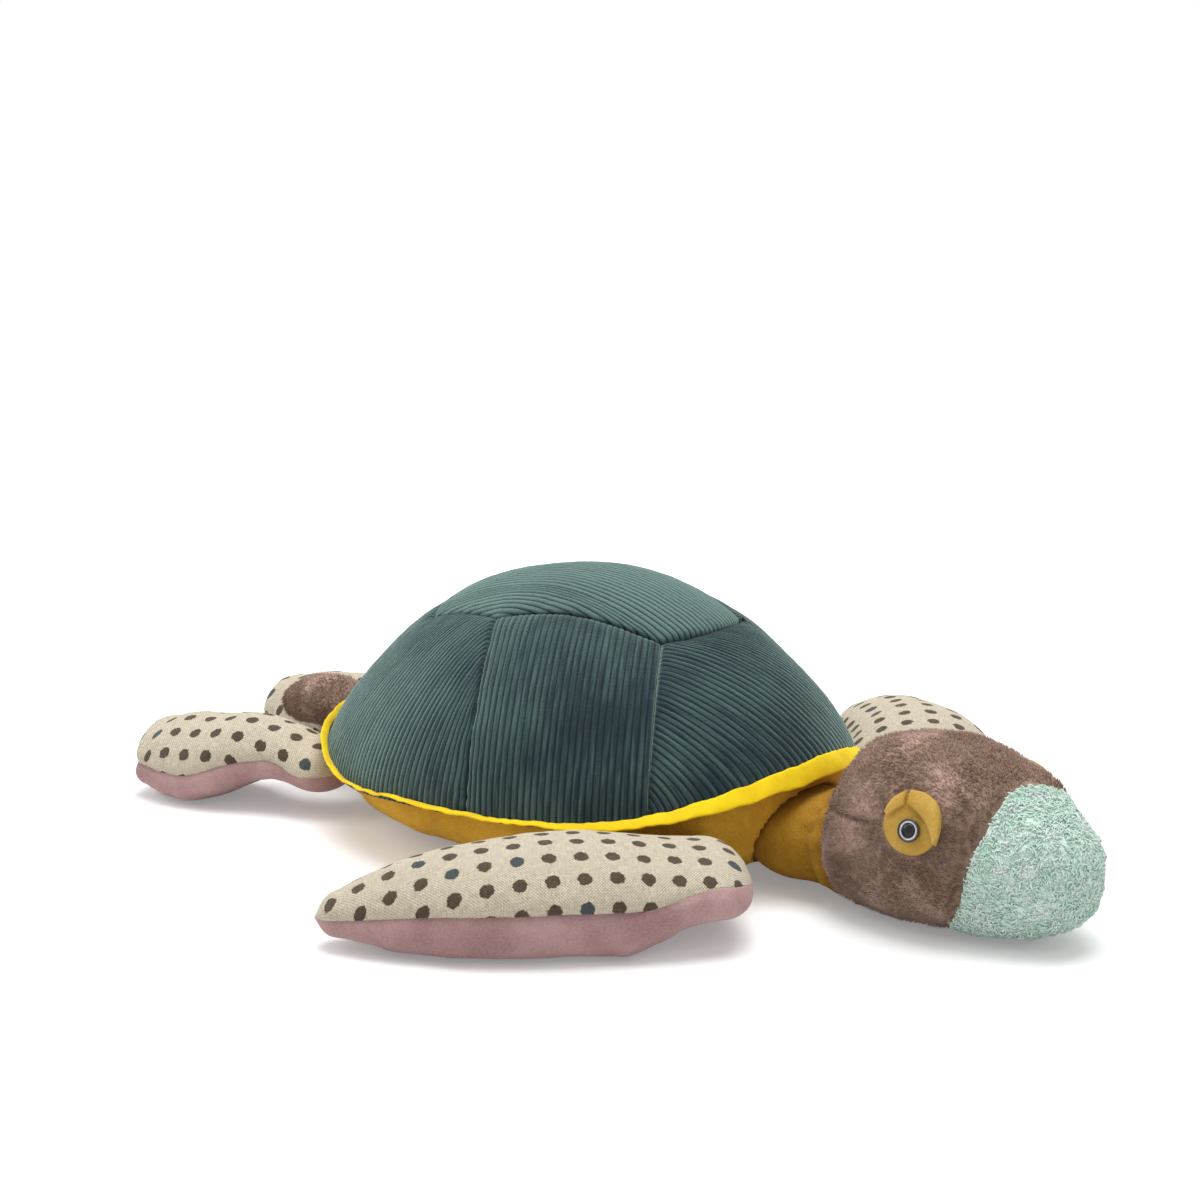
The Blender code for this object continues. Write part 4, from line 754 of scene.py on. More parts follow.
def makeBelly():
    rows, columns = belly["rows"], belly["columns"]
    angle = roundTurn(columns)
    share = np.linspace(0, 1, rows)
    table = torsoPoint(share[:, None], angle[None, :])
    ledge = rimPoint(angle, -belly["ledgeOut"])[None] - (0, 0, belly["ledgeDrop"])
    table = np.concatenate([np.broadcast_to(ledge[:, :1], (1, columns, 3)), ledge, table])
    normals = tableNormals(table[1:], closed=False)
    normals = np.concatenate([normals[:1], normals])
    outward = onCircle(angle)[None]
    flip = np.sign(np.einsum("ijk,ijk->ij", normals, np.broadcast_to(outward, normals.shape)
                             - (0, 0, 0.5)))
    normals = normals * np.where(flip == 0, 1, flip)[..., None]
    loose = smoothStep(*belly["loose"], table[..., 2])
    gather = layered(np.broadcast_to(outward, table.shape), [belly["gather"]])
    fold = (gather + layered(table, [belly["dent"]])) * loose
    table = table + normals * (fold - belly["lowered"])[..., None]
    table[..., 2] = np.minimum(table[..., 2], rimHeight(angle)[None] - belly["underRim"])
    table = seated(table, belly["room"])
    table[..., 2] = np.maximum(table[..., 2], belly["floorGap"])
    edge = math.cos(math.pi / (table.shape[0] - 1))
    mesh = ballMesh("belly", table, keep=lambda centre: centre.z < edge)[0]
    faceOutward(mesh, (shellX, 0, 0.03))
    addPiece("belly", mesh, finishes["mustard"], "torso", ["belly_panel"],
             cloth=belly["cloth"])

    # the filling, drawn in under every seam
    angle = roundTurn(belly["fillColumns"])
    lowRows = torsoPoint(np.linspace(belly["fillFrom"], 1, 30)[:, None], angle[None, :])
    spread = np.linspace(0, belly["fillReach"], 40)[:, None, None]
    plan = (rimPoint(angle)[None, :, :2] - (shellX, 0)) * spread
    highRows = domePoint(plan[..., 0], plan[..., 1])
    table = np.concatenate([highRows, lowRows])
    normals = tableNormals(table)
    depth = bell(distanceTo(seamTree, table), belly["seamReach"])
    depth = belly["fillDepth"] + belly["seamDepth"] * depth
    table = table - normals * depth[..., None]
    table[0], table[-1] = table[0].mean(0), table[-1].mean(0)
    table[..., 2] = np.maximum(table[..., 2], belly["fillFloor"])
    table = seated(table, belly["fillRoom"])
    addStuffing("bodyStuffing", table, "torso", "body_stuffing")
    print("belly and filling done")


def ringMesh(name, table):
    # a closed hoop: rows are steps round it, columns the points of its section
    steps, columns = table.shape[:2]
    hoop = bmesh.new()
    section = bmesh.ops.create_circle(hoop, segments=columns, radius=0.2)["verts"]
    bmesh.ops.rotate(hoop, verts=section, matrix=Matrix.Rotation(math.pi / 2, 3, "X"))
    bmesh.ops.translate(hoop, verts=section, vec=(1, 0, 0))
    bmesh.ops.spin(hoop, geom=hoop.verts[:] + hoop.edges[:], axis=(0, 0, 1), cent=(0, 0, 0),
                   angle=2 * math.pi, steps=steps, use_merge=True)
    mesh = meshFrom(hoop, name)
    points = readPoints(mesh)
    row = np.rint(np.arctan2(points[:, 1], points[:, 0]) / (2 * math.pi) * steps).astype(int) % steps
    out = np.hypot(points[:, 0], points[:, 1]) - 1
    turn = np.arctan2(points[:, 2], out) / (2 * math.pi)
    column = np.rint((turn + 0.25) * columns).astype(int) % columns
    writePoints(mesh, table[row, column])
    return mesh


rim = {"steps": 540, "section": 16, "width": 0.0052, "frontWidth": 0.0068, "thick": 0.0015,
       "sideTilt": -3, "frontTilt": -58, "rearTilt": 62, "turnPower": 1.5, "gap": 0.0005,
       "rearGap": 0.0016, "tiltWaves": ((7, 1, 9), (19, 2, 4)), "widthWave": (9, 3, 0.16),
       "waves": ((12, 4, 0.0012), (40, 5, 0.00048)), "bend": (16, 8, 0.0006),
       "puff": (30, 6, 0.35), "fullness": 0.6}


def makeRim():
    # a folded cotton band: flat out at the sides, hanging in front, standing up behind
    steps, section = rim["steps"], rim["section"]
    angle = roundTurn(steps)
    ahead, behind = np.maximum(0, np.cos(angle)), np.maximum(0, -np.cos(angle))
    around = onCircle(angle)
    tilt = (rim["sideTilt"] + (rim["frontTilt"] - rim["sideTilt"]) * ahead ** rim["turnPower"]
            + (rim["rearTilt"] - rim["sideTilt"]) * behind ** rim["turnPower"])
    tilt = np.radians(tilt + layered(around, rim["tiltWaves"]))
    width = rim["width"] * (1 + layered(around, [rim["widthWave"]]))
    width = width + rim["frontWidth"] * ahead ** 3
    wave = layered(around, rim["waves"])
    base = rimPoint(angle)
    nearby = np.roll(base, -1, 0) - np.roll(base, 1, 0)
    outward = np.stack([nearby[:, 1], -nearby[:, 0], 0 * angle], -1)
    outward /= np.linalg.norm(outward, axis=1, keepdims=True)
    up = np.array((0, 0, 1.0))
    along = outward * np.cos(tilt)[:, None] + up * np.sin(tilt)[:, None]
    across = up * np.cos(tilt)[:, None] - outward * np.sin(tilt)[:, None]
    clear = rim["gap"] + rim["thick"] / 2 * np.abs(np.sin(tilt))
    clear = clear + rim["rearGap"] * behind ** 2
    start = base + outward * clear[:, None] + up * wave[:, None]
    turn = 2 * math.pi * (np.arange(section) + 0.5) / section
    reach = (1 - np.cos(turn)) / 2
    side = np.sign(np.sin(turn)) * np.abs(np.sin(turn)) ** rim["fullness"]
    puffed = 1 + layered(around, [rim["puff"]])
    bend = np.sin(math.pi * reach)[None, :] * layered(around, [rim["bend"]])[:, None]
    table = (start[:, None] + along[:, None] * (width[:, None] * reach[None])[..., None]
             + across[:, None] * (rim["thick"] / 2 * puffed[:, None] * side[None] + bend)[..., None])
    mesh = ringMesh("rimBand", table)
    addPiece("rimBand", mesh, finishes["rim"], "torso", ["rim_band"])
    mesh.validate()
    mendNormals(mesh)
    mesh.shade_smooth()
    print("rim band done")


# Flippers and tail. Shares of the full width, rise and drop stand beside their stations
leaf = {"stations": (0, 0.14, 0.36, 0.60, 0.80, 0.93, 0.98, 1),
        "widths": (1.05, 1.05, 1, 0.88, 0.60, 0.34, 0.18, 0),
        "tops": (0.80, 0.88, 1, 0.94, 0.72, 0.44, 0.25, 0),
        "unders": (0.62, 1, 1.06, 1, 0.76, 0.42, 0.24, 0),
        "underPower": 0.48, "rootLift": 0.0, "riseFade": 0.24, "rootUp": 0.003, "rootDrop": 0.60,
        "halfWidth": 0.047, "rise": 0.027, "seam": 0.0265, "drop": 0.0270, "radius": 0.0215,
        "rootWidth": 0.048, "rootHeight": 0.0215, "tipZ": 0.015, "bow": 0.008, "seamRise": 0.50}
paddle = {"stations": (0, 0.20, 0.44, 0.66, 0.84, 0.96, 1),
          "widths": (0.60, 0.66, 0.94, 1.04, 0.88, 0.50, 0),
          "tops": (0.56, 0.58, 0.92, 1.02, 0.84, 0.50, 0),
          "unders": (0.70, 0.66, 0.86, 1, 0.84, 0.46, 0),
          "underPower": 0.60, "rootLift": 0.0060, "riseFade": 0.34, "rootUp": 0.0100,
          "rootDrop": 0.80,
          "halfWidth": 0.037, "rise": 0.030, "seam": 0.020, "drop": 0.0205, "radius": 0.017,
          "rootWidth": 0.025, "rootHeight": 0.017, "tipZ": 0.022, "bow": 0.003, "seamRise": 0.0}
stub = {"stations": (0, 0.30, 0.55, 0.80, 0.94, 1), "widths": (0.89, 1, 1, 0.80, 0.50, 0),
        "tops": (0.90, 1, 1, 0.82, 0.50, 0), "unders": (1, 1, 1, 0.86, 0.50, 0),
        "underPower": 0.65, "rootLift": 0.0, "riseFade": 0.34, "rootUp": 0.0, "rootDrop": 1.0,
        "halfWidth": 0.0205, "rise": 0.0145, "seam": 0.050, "drop": 0.014, "radius": 0.019,
        "rootWidth": 0.019, "rootHeight": 0.015, "tipZ": 0.045, "bow": 0.0, "seamRise": 0.0}


def limbOf(name, joint, form, tipX, tipY):
    hinge = jointPlace[joint]
    reach = Vector((shellX + tipX - hinge.x, tipY - hinge.y, 0))
    limb = dict(form, name=name, body=name if name == "tail" else name + "_flipper", hinge=hinge,
                length=reach.length, along=reach.normalized())
    limb["axis"] = Vector((0, 0, 1)).cross(limb["along"])
    return limb


limbs = []
for side, label in ((-1, "right"), (1, "left")):
    front = limbOf("front_" + label, "front_" + label + "_flap", leaf, 0.020, side * 0.251)
    tipX, tipY = (-0.286, -0.082) if side < 0 else (-0.308, 0.049)
    rear = limbOf("rear_" + label, "rear_" + label + "_flap", paddle, tipX, tipY)
    front["bow"], rear["bow"] = -side * leaf["bow"], -side * paddle["bow"]
    if side > 0:  # the left one is plumper and reaches farther ahead
        front["rise"], front["bow"] = 0.0325, -0.016
    limbs += [front, rear]
limbs.append(limbOf("tail", "tail_wag", stub, -0.243, 0.0))


# shares of a limb's length at which its seam's line and its section change
course = {"crowding": 1.25, "levelBy": 0.40, "fallFrom": 0.60, "fallPower": 1.5, "liftBy": 0.20,
          "liftGone": (0.26, 0.62), "rootGone": (0.10, 0.62), "fullBy": 0.25}


def limbTable(limb, rootRows, rows, columns):
    # rows from the root's hidden end to the tip; column 0 lies on the seam
    angle = roundTurn(columns)[None]
    up = np.array((0, 0, 1.0))
    hinge, along, axis = (np.array(limb[key]) for key in ("hinge", "along", "axis"))
    turn = (math.pi / 2 * np.arange(rootRows) / rootRows)[:, None]
    raised = angle + limb["seamRise"] * np.cos(angle)
    side, lift = np.cos(raised), np.sin(raised)
    drop = np.where(lift < 0, limb["rootDrop"], 1)
    root = (hinge - along * (limb["radius"] * np.cos(turn) + 0 * side)[..., None]
            + axis * (limb["rootWidth"] * np.sin(turn) * side)[..., None]
            + up * (limb["rootHeight"] * np.sin(turn) * lift * drop + limb["rootUp"])[..., None])
    at = (1 - (1 - np.linspace(0, 1, rows)) ** course["crowding"])[:, None]
    raised = angle + limb["seamRise"] * (1 - smoothStep(0.0, limb["riseFade"], at)) * np.cos(angle)
    side, lift = np.cos(raised), np.sin(raised)
    seam = hinge[2] + (limb["seam"] - hinge[2]) * np.minimum(1, at / course["levelBy"])
    past = np.maximum(0, (at - course["fallFrom"]) / (1 - course["fallFrom"]))
    fallen = limb["seam"] + (limb["tipZ"] - limb["seam"]) * past ** course["fallPower"]
    seam = np.where(past > 0, fallen, seam)
    lifted = smoothStep(0, course["liftBy"], at) * (1 - smoothStep(*course["liftGone"], at))
    seam = seam + limb["rootLift"] * lifted
    seam = seam + limb["rootUp"] * (1 - smoothStep(*course["rootGone"], at))
    blend = np.minimum(1, at / course["fullBy"])
    sizes = []
    for key, size, first in (("widths", "halfWidth", "rootWidth"), ("tops", "rise", "rootHeight"),
                             ("unders", "drop", "rootHeight")):
        full = limb[size] * between(limb["stations"], limb[key], at)
        share = limb["rootDrop"] if key == "unders" else 1
        sizes.append(limb[first] * share + (full - limb[first] * share) * blend)
    width, high, low = sizes
    power = np.where(lift < 0, 1 + (limb["underPower"] - 1) * blend, 1)
    height = np.where(lift > 0, high * lift, -low * np.abs(lift) ** power)
    across = np.sign(side) * np.abs(side) ** power
    sway = limb["bow"] * 4 * at * (1 - at)
    body = (hinge + along * (limb["length"] * at + 0 * side)[..., None]
            + axis * (width * across + sway)[..., None] + up * (seam - hinge[2] + height)[..., None])
    return np.concatenate([root, body])


def spacingAcross(table):
    # length along each row from column 0, once round
    steps = np.linalg.norm(np.roll(table, -1, 1) - table, axis=2)
    return np.concatenate([np.zeros((len(table), 1)), np.cumsum(steps, 1)[:, :-1]], 1), steps.sum(1)


def restingOn(z, lowest=0.0003, bend=0.0045):
    # flattens heights softly towards the floor
    return np.where(z < bend, lowest + (bend - lowest) * np.exp((z - bend) / (bend - lowest)), z)


def drawnIn(table, depth, lowest=0.0024):
    fill = table - tableNormals(table) * depth
    fill[0], fill[-1] = fill[0].mean(0), fill[-1].mean(0)
    fill[..., 2] = np.maximum(fill[..., 2], lowest)
    return fill


def blendOver(piece):
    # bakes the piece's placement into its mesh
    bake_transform(piece)


flipper = {"rootRows": 14, "rows": 120, "columns": 144, "cloth": 0.0009, "groove": 0.0016,
           "grooveWidth": 0.0028, "pucker": 0.0007, "puckerScale": 110, "puckerWidth": 0.011,
           "fold": 0.0009, "foldScales": (62, 14), "foldFrom": 0.008, "fillDepth": 0.0042,
           "freeBy": 0.02, "tipFade": 0.012,
           "wrinkles": ((38, 2, 0.0008), (90, 4, 0.0004), (16, 6, 0.0016))}


def makeFlipper(limb, seed):
    columns = flipper["columns"]
    table = limbTable(limb, flipper["rootRows"], flipper["rows"], columns)
    smooth = table.copy()
    normals = tableNormals(table)
    run, around = spacingAcross(table)
    half = columns // 2
    toSeam = np.minimum(np.minimum(run, np.abs(run - run[:, half:half + 1])), around[:, None] - run)
    along = np.array(limb["along"])
    at = (table - np.array(limb["hinge"])) @ along
    free = smoothStep(0, flipper["freeBy"], at)
    groove = flipper["groove"] * bell(toSeam, flipper["grooveWidth"]) * free
    # puckers stand across the seam and fade away from it
    past = run - run[:, half:half + 1]
    line = np.stack([at * flipper["puckerScale"], 0 * at + seed * 3, np.sign(past)], -1)
    pucker = noiseAt(line, 1, seed) * bell(toSeam, flipper["puckerWidth"]) * flipper["pucker"] * free
    long, wide = flipper["foldScales"]
    line = np.stack([at * long, toSeam * wide, 0 * at + seed * 5], -1)
    fold = noiseAt(line, 1, seed + 9) * smoothStep(0, flipper["foldFrom"], toSeam) * (past > 0)
    pucker = pucker + fold * flipper["fold"] * free
    height = pucker * 2 - groove + layered(table, flipper["wrinkles"], seed) * free
    height = height * smoothStep(limb["length"], limb["length"] - flipper["tipFade"], at)
    table = table + normals * height[..., None]
    table[0], table[-1] = table[0].mean(0), smooth[-1].mean(0)
    table[..., 2] = restingOn(table[..., 2])
    crest = columns // 4
    ridge = runAlong(smooth[:, crest])
    flat = np.stack([np.broadcast_to(ridge[:, None], run.shape), run - run[:, crest:crest + 1],
                     0 * run], -1)
    name = limb["body"]
    words = name.split("_")
    title = words[0] + words[1].title()
    for part, keep, finish, slot in (
            ("top_cover", lambda centre: centre.y > 0, "linen", "linen"),
            ("underside_cover", lambda centre: centre.y < 0, "mauve", "mauve_velvet")):
        mesh, row, column = ballMesh(name + "_" + part, table, keep)
        faceOutward(mesh, table.reshape(-1, 3).mean(0))
        keepNumbers(mesh, "flat", flat[row, column])
        piece = addPiece(title + part.split("_")[0].title(), mesh, finishes[finish], None,
                         [name + "_" + part], cloth=flipper["cloth"])
        blendOver(piece)
    fill = drawnIn(smooth[::3, ::6], flipper["fillDepth"])
    blendOver(addStuffing(title + "Stuffing", fill, None, name + "_stuffing"))


tail = {"rootRows": 14, "rows": 70, "columns": 120, "lump": (70, 3, 0.0012), "cloth": 0.0012,
        "fillDepth": 0.0040, "furFrom": 0.004}


def makeTail(limb):
    smooth = limbTable(limb, tail["rootRows"], tail["rows"], tail["columns"])
    table = smooth + tableNormals(smooth) * layered(smooth, [tail["lump"]])[..., None]
    table[0], table[-1] = table[0].mean(0), smooth[-1].mean(0)
    mesh = ballMesh("tail", table)[0]
    faceOutward(mesh, table.reshape(-1, 3).mean(0))
    piece = addPiece("tail", mesh, finishes["fur"], None, ["tail_cover"],
                     cloth=tail["cloth"])
    blendOver(piece)
    at = (table - np.array(limb["hinge"])) @ np.array(limb["along"])
    piece = makeFur("tailFur", table, fur["tailTufts"], at > tail["furFrom"], limb["along"], None)
    blendOver(piece)
    fill = drawnIn(smooth[::2, ::4], tail["fillDepth"])
    blendOver(addStuffing("tailStuffing", fill, None, "tail_stuffing"))


# Neck

neck = {"root": (0.160, 0.0272, 0.042, 0.025), "front": (0.195, 0.0325, 0.0285, 0.040),
        "cap": 0.40, "rows": 90, "columns": 300, "gathers": 15, "fold": 0.0006,
        "slack": 0.0034, "slackAt": 0.0275, "slackWidth": 0.0042, "tension": 0.2,
        "creases": ((0.0195, 0.6), (0.0350, 0.8)), "creaseWidth": 0.0028, "wander": 0.003,
        "wanderScale": 2.2, "sway": 5, "looseFrom": (0.12, 0.45), "looseTo": (0.72, 0.98),
        "gathered": (0.004, 0.022), "floorGap": 0.0004,
        "drift": (24, 11, 0.004), "lump": (60, 7, 0.0008), "fillDepth": 0.0050, "cloth": 0.0010}


def neckPoint(share, angle):
    rootX, rootZ, rootRadius, rootHeight = neck["root"]
    frontX, frontZ, frontRadius, frontWidth = neck["front"]
    cap = neck["cap"]
    side, lift = np.cos(angle), np.sin(angle)
    back = np.clip(share / cap, 0, 1) * math.pi / 2
    ahead = np.clip((1 - share) / cap, 0, 1) * math.pi / 2
    run = np.clip((share - cap) / (1 - 2 * cap), 0, 1)
    wide = rootRadius + (frontWidth - rootRadius) * run
    high = rootHeight + (frontRadius - rootHeight) * run
    x = rootX + (frontX - rootX) * run - rootRadius * np.cos(back) + frontRadius * np.cos(ahead)
    y = wide * np.sin(back) * np.sin(ahead) * side
    z = rootZ + (frontZ - rootZ) * run + high * np.sin(back) * np.sin(ahead) * lift
    return np.stack([x + shellX + 0 * side, y, z], -1)


def moved(points, matrix):
    matrix = np.array(matrix)
    return np.asarray(points) @ matrix[:3, :3].T + matrix[:3, 3]


def makeNeck():
    rows, columns = neck["rows"], neck["columns"]
    angle = roundTurn(columns)[None]
    share = np.linspace(0, 1, rows + 1)[:, None]
    smooth = moved(neckPoint(share, angle), headTurn)
    normals = tableNormals(smooth)
    wander = noiseAt(np.broadcast_to(onCircle(angle), smooth.shape), neck["wanderScale"], 3)
    ahead = smooth[..., 0] - jointPlace["neck_turn"].x
    x = ahead + neck["wander"] * wander + layered(smooth, [neck["drift"]])
    slack = bell(x - neck["slackAt"], neck["slackWidth"]) - neck["tension"]
    for middle, depth in neck["creases"]:
        slack = slack - depth * bell(x - middle, neck["creaseWidth"])
    wave = np.sin(neck["gathers"] * angle + neck["sway"] * wander)
    gather = wave * smoothStep(*neck["gathered"], ahead)
    strength = smoothStep(*neck["looseFrom"], share) * (1 - smoothStep(*neck["looseTo"], share))
    height = (neck["slack"] * slack + neck["fold"] * gather) * strength
    height = height + layered(smooth, [neck["lump"]])
    table = smooth + normals * height[..., None]
    table[0], table[-1] = smooth[0], smooth[-1]
    table[..., 2] = np.maximum(table[..., 2], neck["floorGap"])
    mesh = ballMesh("neck", table)[0]
    faceOutward(mesh, table.reshape(-1, 3).mean(0))
    addPiece("neck", mesh, finishes["neckMustardShaded"], "neck", ["neck_cover"],
             cloth=neck["cloth"])
    fill = drawnIn(smooth[::3, ::6], neck["fillDepth"])
    addStuffing("neckStuffing", fill, "neck", "neck_stuffing")
    print("neck done")


# Head

head = {"centre": 0.2530, "halfLength": 0.0865, "halfWidth": 0.0555, "middle": 0.046, "top": 0.098,
        "back": 0.202, "roundFrom": 0.222, "seamBottom": 0.281, "seamLean": 0.27,
        "seamBulge": 0.0022, "seamDraw": 0.045, "seamTopDraw": 0.024, "seamMiddle": 0.047,
        "sag": 0.0085, "muzzleDrop": 0.0028,
        "crease": (0.200, 0.244, 0.0595), "creaseDepth": 0.0026, "creaseWidth": 0.0015,
        "rows": 170, "columns": 240, "groove": 0.0018, "grooveWidth": 0.0040, "cloth": 0.0012,
        "lumps": ((26, 1, 0.0016), (62, 2, 0.0009)), "pile": (260, 3, 0.0005),
        "bobble": (190, 5, 0.0008), "middleSeam": (0.0008, 0.0022), "sunk": (0.0012, 0.0006),
        "fillDepth": 0.0074, "fillRoom": 0.0034, "room": 0.0010, "floorGap": 0.0003,
        "spreadPower": 0.80, "underPower": 0.50, "square": 0.86, "taperFrom": 0.15,
        "widthTaper": (0.17, 1.6), "topTaper": (0.22, 1.3), "middleTaper": 0.10,
        "sagHeights": (0.028, 0.075), "sagOut": (0.30, 0.75), "sagEnd": 0.252,
        "creaseFade": (0.004, 0.008), "crown": (0.045, 0.072), "crownFade": 0.008}


def headPoint(share, angle):
    ahead = np.cos(math.pi * share)
    reach = np.clip(np.sin(math.pi * share), 0, 1)
    spread = reach ** head["spreadPower"]
    side, lift = (np.sign(part) * np.abs(part) ** head["square"]
                  for part in (np.cos(angle), np.sin(angle)))
    slope = np.maximum(0, ahead + head["taperFrom"])
    (narrowed, power), (lowered, topPower) = head["widthTaper"], head["topTaper"]
    width = head["halfWidth"] * (1 - narrowed * slope ** power)
    middle = head["middle"] * (1 - head["middleTaper"] * slope)
    high = (head["top"] - head["middle"]) * (1 - lowered * slope ** topPower)
    low = (middle + 0.0005) * reach ** head["underPower"]
    height = lift * np.where(lift > 0, high * spread, low)
    x = head["centre"] + head["halfLength"] * ahead
    # the nape is drawn forward and closes flat against the neck
    start, back = head["roundFrom"], head["back"]
    last = head["centre"] - head["halfLength"]
    past = np.clip((start - x) / (start - last), 0, 1)
    power = (start - last) / (start - back)
    x = np.where(x < start, start - (start - back) * (1 - (1 - past) ** power), x)
    # its lower edge sags back over the neck's sides
    z = middle + height
    low = 1 - smoothStep(*head["sagHeights"], z)
    full = spread * (np.abs(side) + 0.5 * smoothStep(0.2, 0.8, -lift))
    sagging = head["sag"] * low * smoothStep(*head["sagOut"], full)
    x = x - sagging * (1 - smoothStep(back, head["sagEnd"], x))
    return np.stack([x + 0 * side, width * spread * side, z], -1)


def seamBow(z):
    # the muzzle's seam stands forward on the cheeks and draws back above and below them
    away = np.clip(z / head["seamMiddle"] - 1, -0.8, 0.8)
    below, above = np.maximum(0, -away) ** 6, np.maximum(0, away) ** 3
    return head["seamBulge"] - head["seamDraw"] * below - head["seamTopDraw"] * above


def muzzleDistance(points):
    # how far ahead of the muzzle's seam
    ahead = points[..., 0] - seamBow(points[..., 2]) - head["seamBottom"]
    return (ahead - head["seamLean"] * points[..., 2]) / math.hypot(1, head["seamLean"])


def neckSeat(points, room):
    x, z, radius, width = neck["front"]
    inside = 1 - (points[..., 1] / (width + room)) ** 2 - ((points[..., 2] - z) / (radius + room)) ** 2
    wall = x + (radius + room) * np.sqrt(np.maximum(inside, 0))
    points = points.copy()
    near = (inside > 0) & (points[..., 0] < wall) & (points[..., 0] < x + radius + 0.02)
    points[..., 0] = np.where(near, wall, points[..., 0])
    return points


def makeHead():
    # the head's covers and filling; gives back its surface and a smooth skin for the eyes
    rows, columns = head["rows"], head["columns"]
    angle = roundTurn(columns)[None]
    share = np.linspace(0, 1, rows + 1)[:, None]
    smooth = headPoint(share, angle)
    normals = tableNormals(smooth)
    front = muzzleDistance(smooth)
    seam = bell(front, head["grooveWidth"])
    lumps = layered(smooth, head["lumps"])
    pile = layered(smooth, [head["pile"]])
    bobble = np.where(front > 0, layered(smooth, [head["bobble"]]), 0)
    seamDepth, seamWidth = head["middleSeam"]
    middleSeam = bell(smooth[..., 1], seamWidth) * (front < 0) * (normals[..., 2] > 0)
    x, z = smooth[..., 0], smooth[..., 2]
    start, end, level = head["crease"]
    fadeIn, fadeOut = head["creaseFade"]
    fold = smoothStep(start - fadeIn, start, x) * (1 - smoothStep(end - fadeOut, end, x))
    fold = fold * bell(z - level, head["creaseWidth"])
    height = lumps + pile + bobble - head["groove"] * seam - seamDepth * middleSeam
    height = height - head["creaseDepth"] * fold - np.where(front > 0, *head["sunk"])
    crown = smoothStep(*head["crown"], z) * smoothStep(0, head["crownFade"], front)
    height = height - head["muzzleDrop"] * crown  # the muzzle starts lower than the brow's pile
    table = smooth + normals * height[..., None]
    table[0], table[-1] = table[0].mean(0), smooth[-1]
    table = neckSeat(table, head["room"])
    table[..., 2] = np.maximum(table[..., 2], head["floorGap"])
    mesh = ballMesh("head", table)[0]
    faceOutward(mesh, (head["centre"], 0, 0.05))
    whole = bmesh.new()
    whole.from_mesh(mesh)
    for vert in whole.verts:  # straightens the seam for the cut
        vert.co.x -= seamBow(vert.co.z)
    lean = Vector((1, 0, -head["seamLean"])).normalized()
    low = (head["seamBottom"], 0, 0)
    cuts = {"muzzle": ((lean, low, False),),
            "headRight": ((lean, low, True), (Vector((0, 1, 0)), (0, 0, 0), True)),
            "headLeft": ((lean, low, True), (Vector((0, 1, 0)), (0, 0, 0), False))}
    nodes = {"muzzle": ("muzzle_cover", "terry", "mint_terry"),
             "headRight": ("head_right_cover", "fur", "brown_fur"),
             "headLeft": ("head_left_cover", "fur", "brown_fur")}
    for name, planes in cuts.items():
        part = whole.copy()
        for normal, place, before in planes:
            bmesh.ops.bisect_plane(part, geom=part.verts[:] + part.edges[:] + part.faces[:],
                                   dist=1e-6, plane_co=place, plane_no=normal,
                                   clear_outer=before, clear_inner=not before)
        for vert in part.verts:
            vert.co.x += seamBow(vert.co.z)
        made = meshFrom(part, name)
        made.transform(headPlace)
        node, finish, slot = nodes[name]
        addPiece(name, made, finishes[finish], "head", [node], cloth=head["cloth"])
    whole.free()
    fill = drawnIn(smooth[::4, ::6], head["fillDepth"])
    fill = moved(neckSeat(fill, head["fillRoom"]), headPlace)
    addStuffing("headStuffing", fill, "head", "head_stuffing")
    mesh = ballMesh("skin", moved(smooth + normals * lumps[..., None], headPlace))[0]
    skin = BVHTree.FromPolygons(readPoints(mesh).tolist(),
                                [tuple(polygon.vertices) for polygon in mesh.polygons])
    bpy.data.meshes.remove(mesh)
    print("head covers done")
    return table, skin


def dressHead(table, skin):
    # eyes on both sides, then pile and loops that keep off the felt
    world = moved(table, headPlace)
    bare = (table[..., 2] > fur["floorRoom"]) & (table[..., 0] > head["back"] + fur["napeRoom"])
    for label in ("right", "left"):
        place = makeEye(label, skin)
        local = world - place["centre"]
        a = local @ place["ahead"] - eye["patchShift"][0]
        b = local @ place["up"] - eye["patchShift"][1]
        near = np.abs(local @ place["out"]) < 0.02
        # locks lean back over the felt's front edge
        a = np.where(a > 0, np.maximum(a - fur["overFelt"], 0), a)
        halfWidth, halfHeight = np.array(eye["patch"]) + fur["feltRoom"]
        bare = bare & ~(near & (np.hypot(a / halfWidth, b / halfHeight) < 1))
    print("eyes done")
    front = muzzleDistance(table)
    makeFur("headFur", table, fur["tufts"], bare & (front < -fur["seamRoom"]), (-1, 0, -0.25),
            "head", headPlace)
    makeLoops(table, bare & (front > terry["seamRoom"]))
    print("pile and loops done")


# Fur, loops and eyes

def surfaceSpots(table, normals, count, allowed):
    # evenly strewn places on a table of points, with their normals
    here, down = table[:-1], table[1:]
    right = np.roll(here, -1, 1)
    area = np.linalg.norm(np.cross(right - here, down - here), axis=2) * allowed[:-1]
    chosen = draws.choice(area.size, size=count, p=(area / area.sum()).ravel())
    row, column = np.unravel_index(chosen, area.shape)
    nextColumn = (column + 1) % table.shape[1]
    u, v = draws.random(count)[:, None], draws.random(count)[:, None]

    def blended(values):
        top = values[row, column] * (1 - u) + values[row, nextColumn] * u
        low = values[row + 1, column] * (1 - u) + values[row + 1, nextColumn] * u
        return top * (1 - v) + low * v
    up = blended(normals)
    return blended(table), up / np.linalg.norm(up, axis=1, keepdims=True)


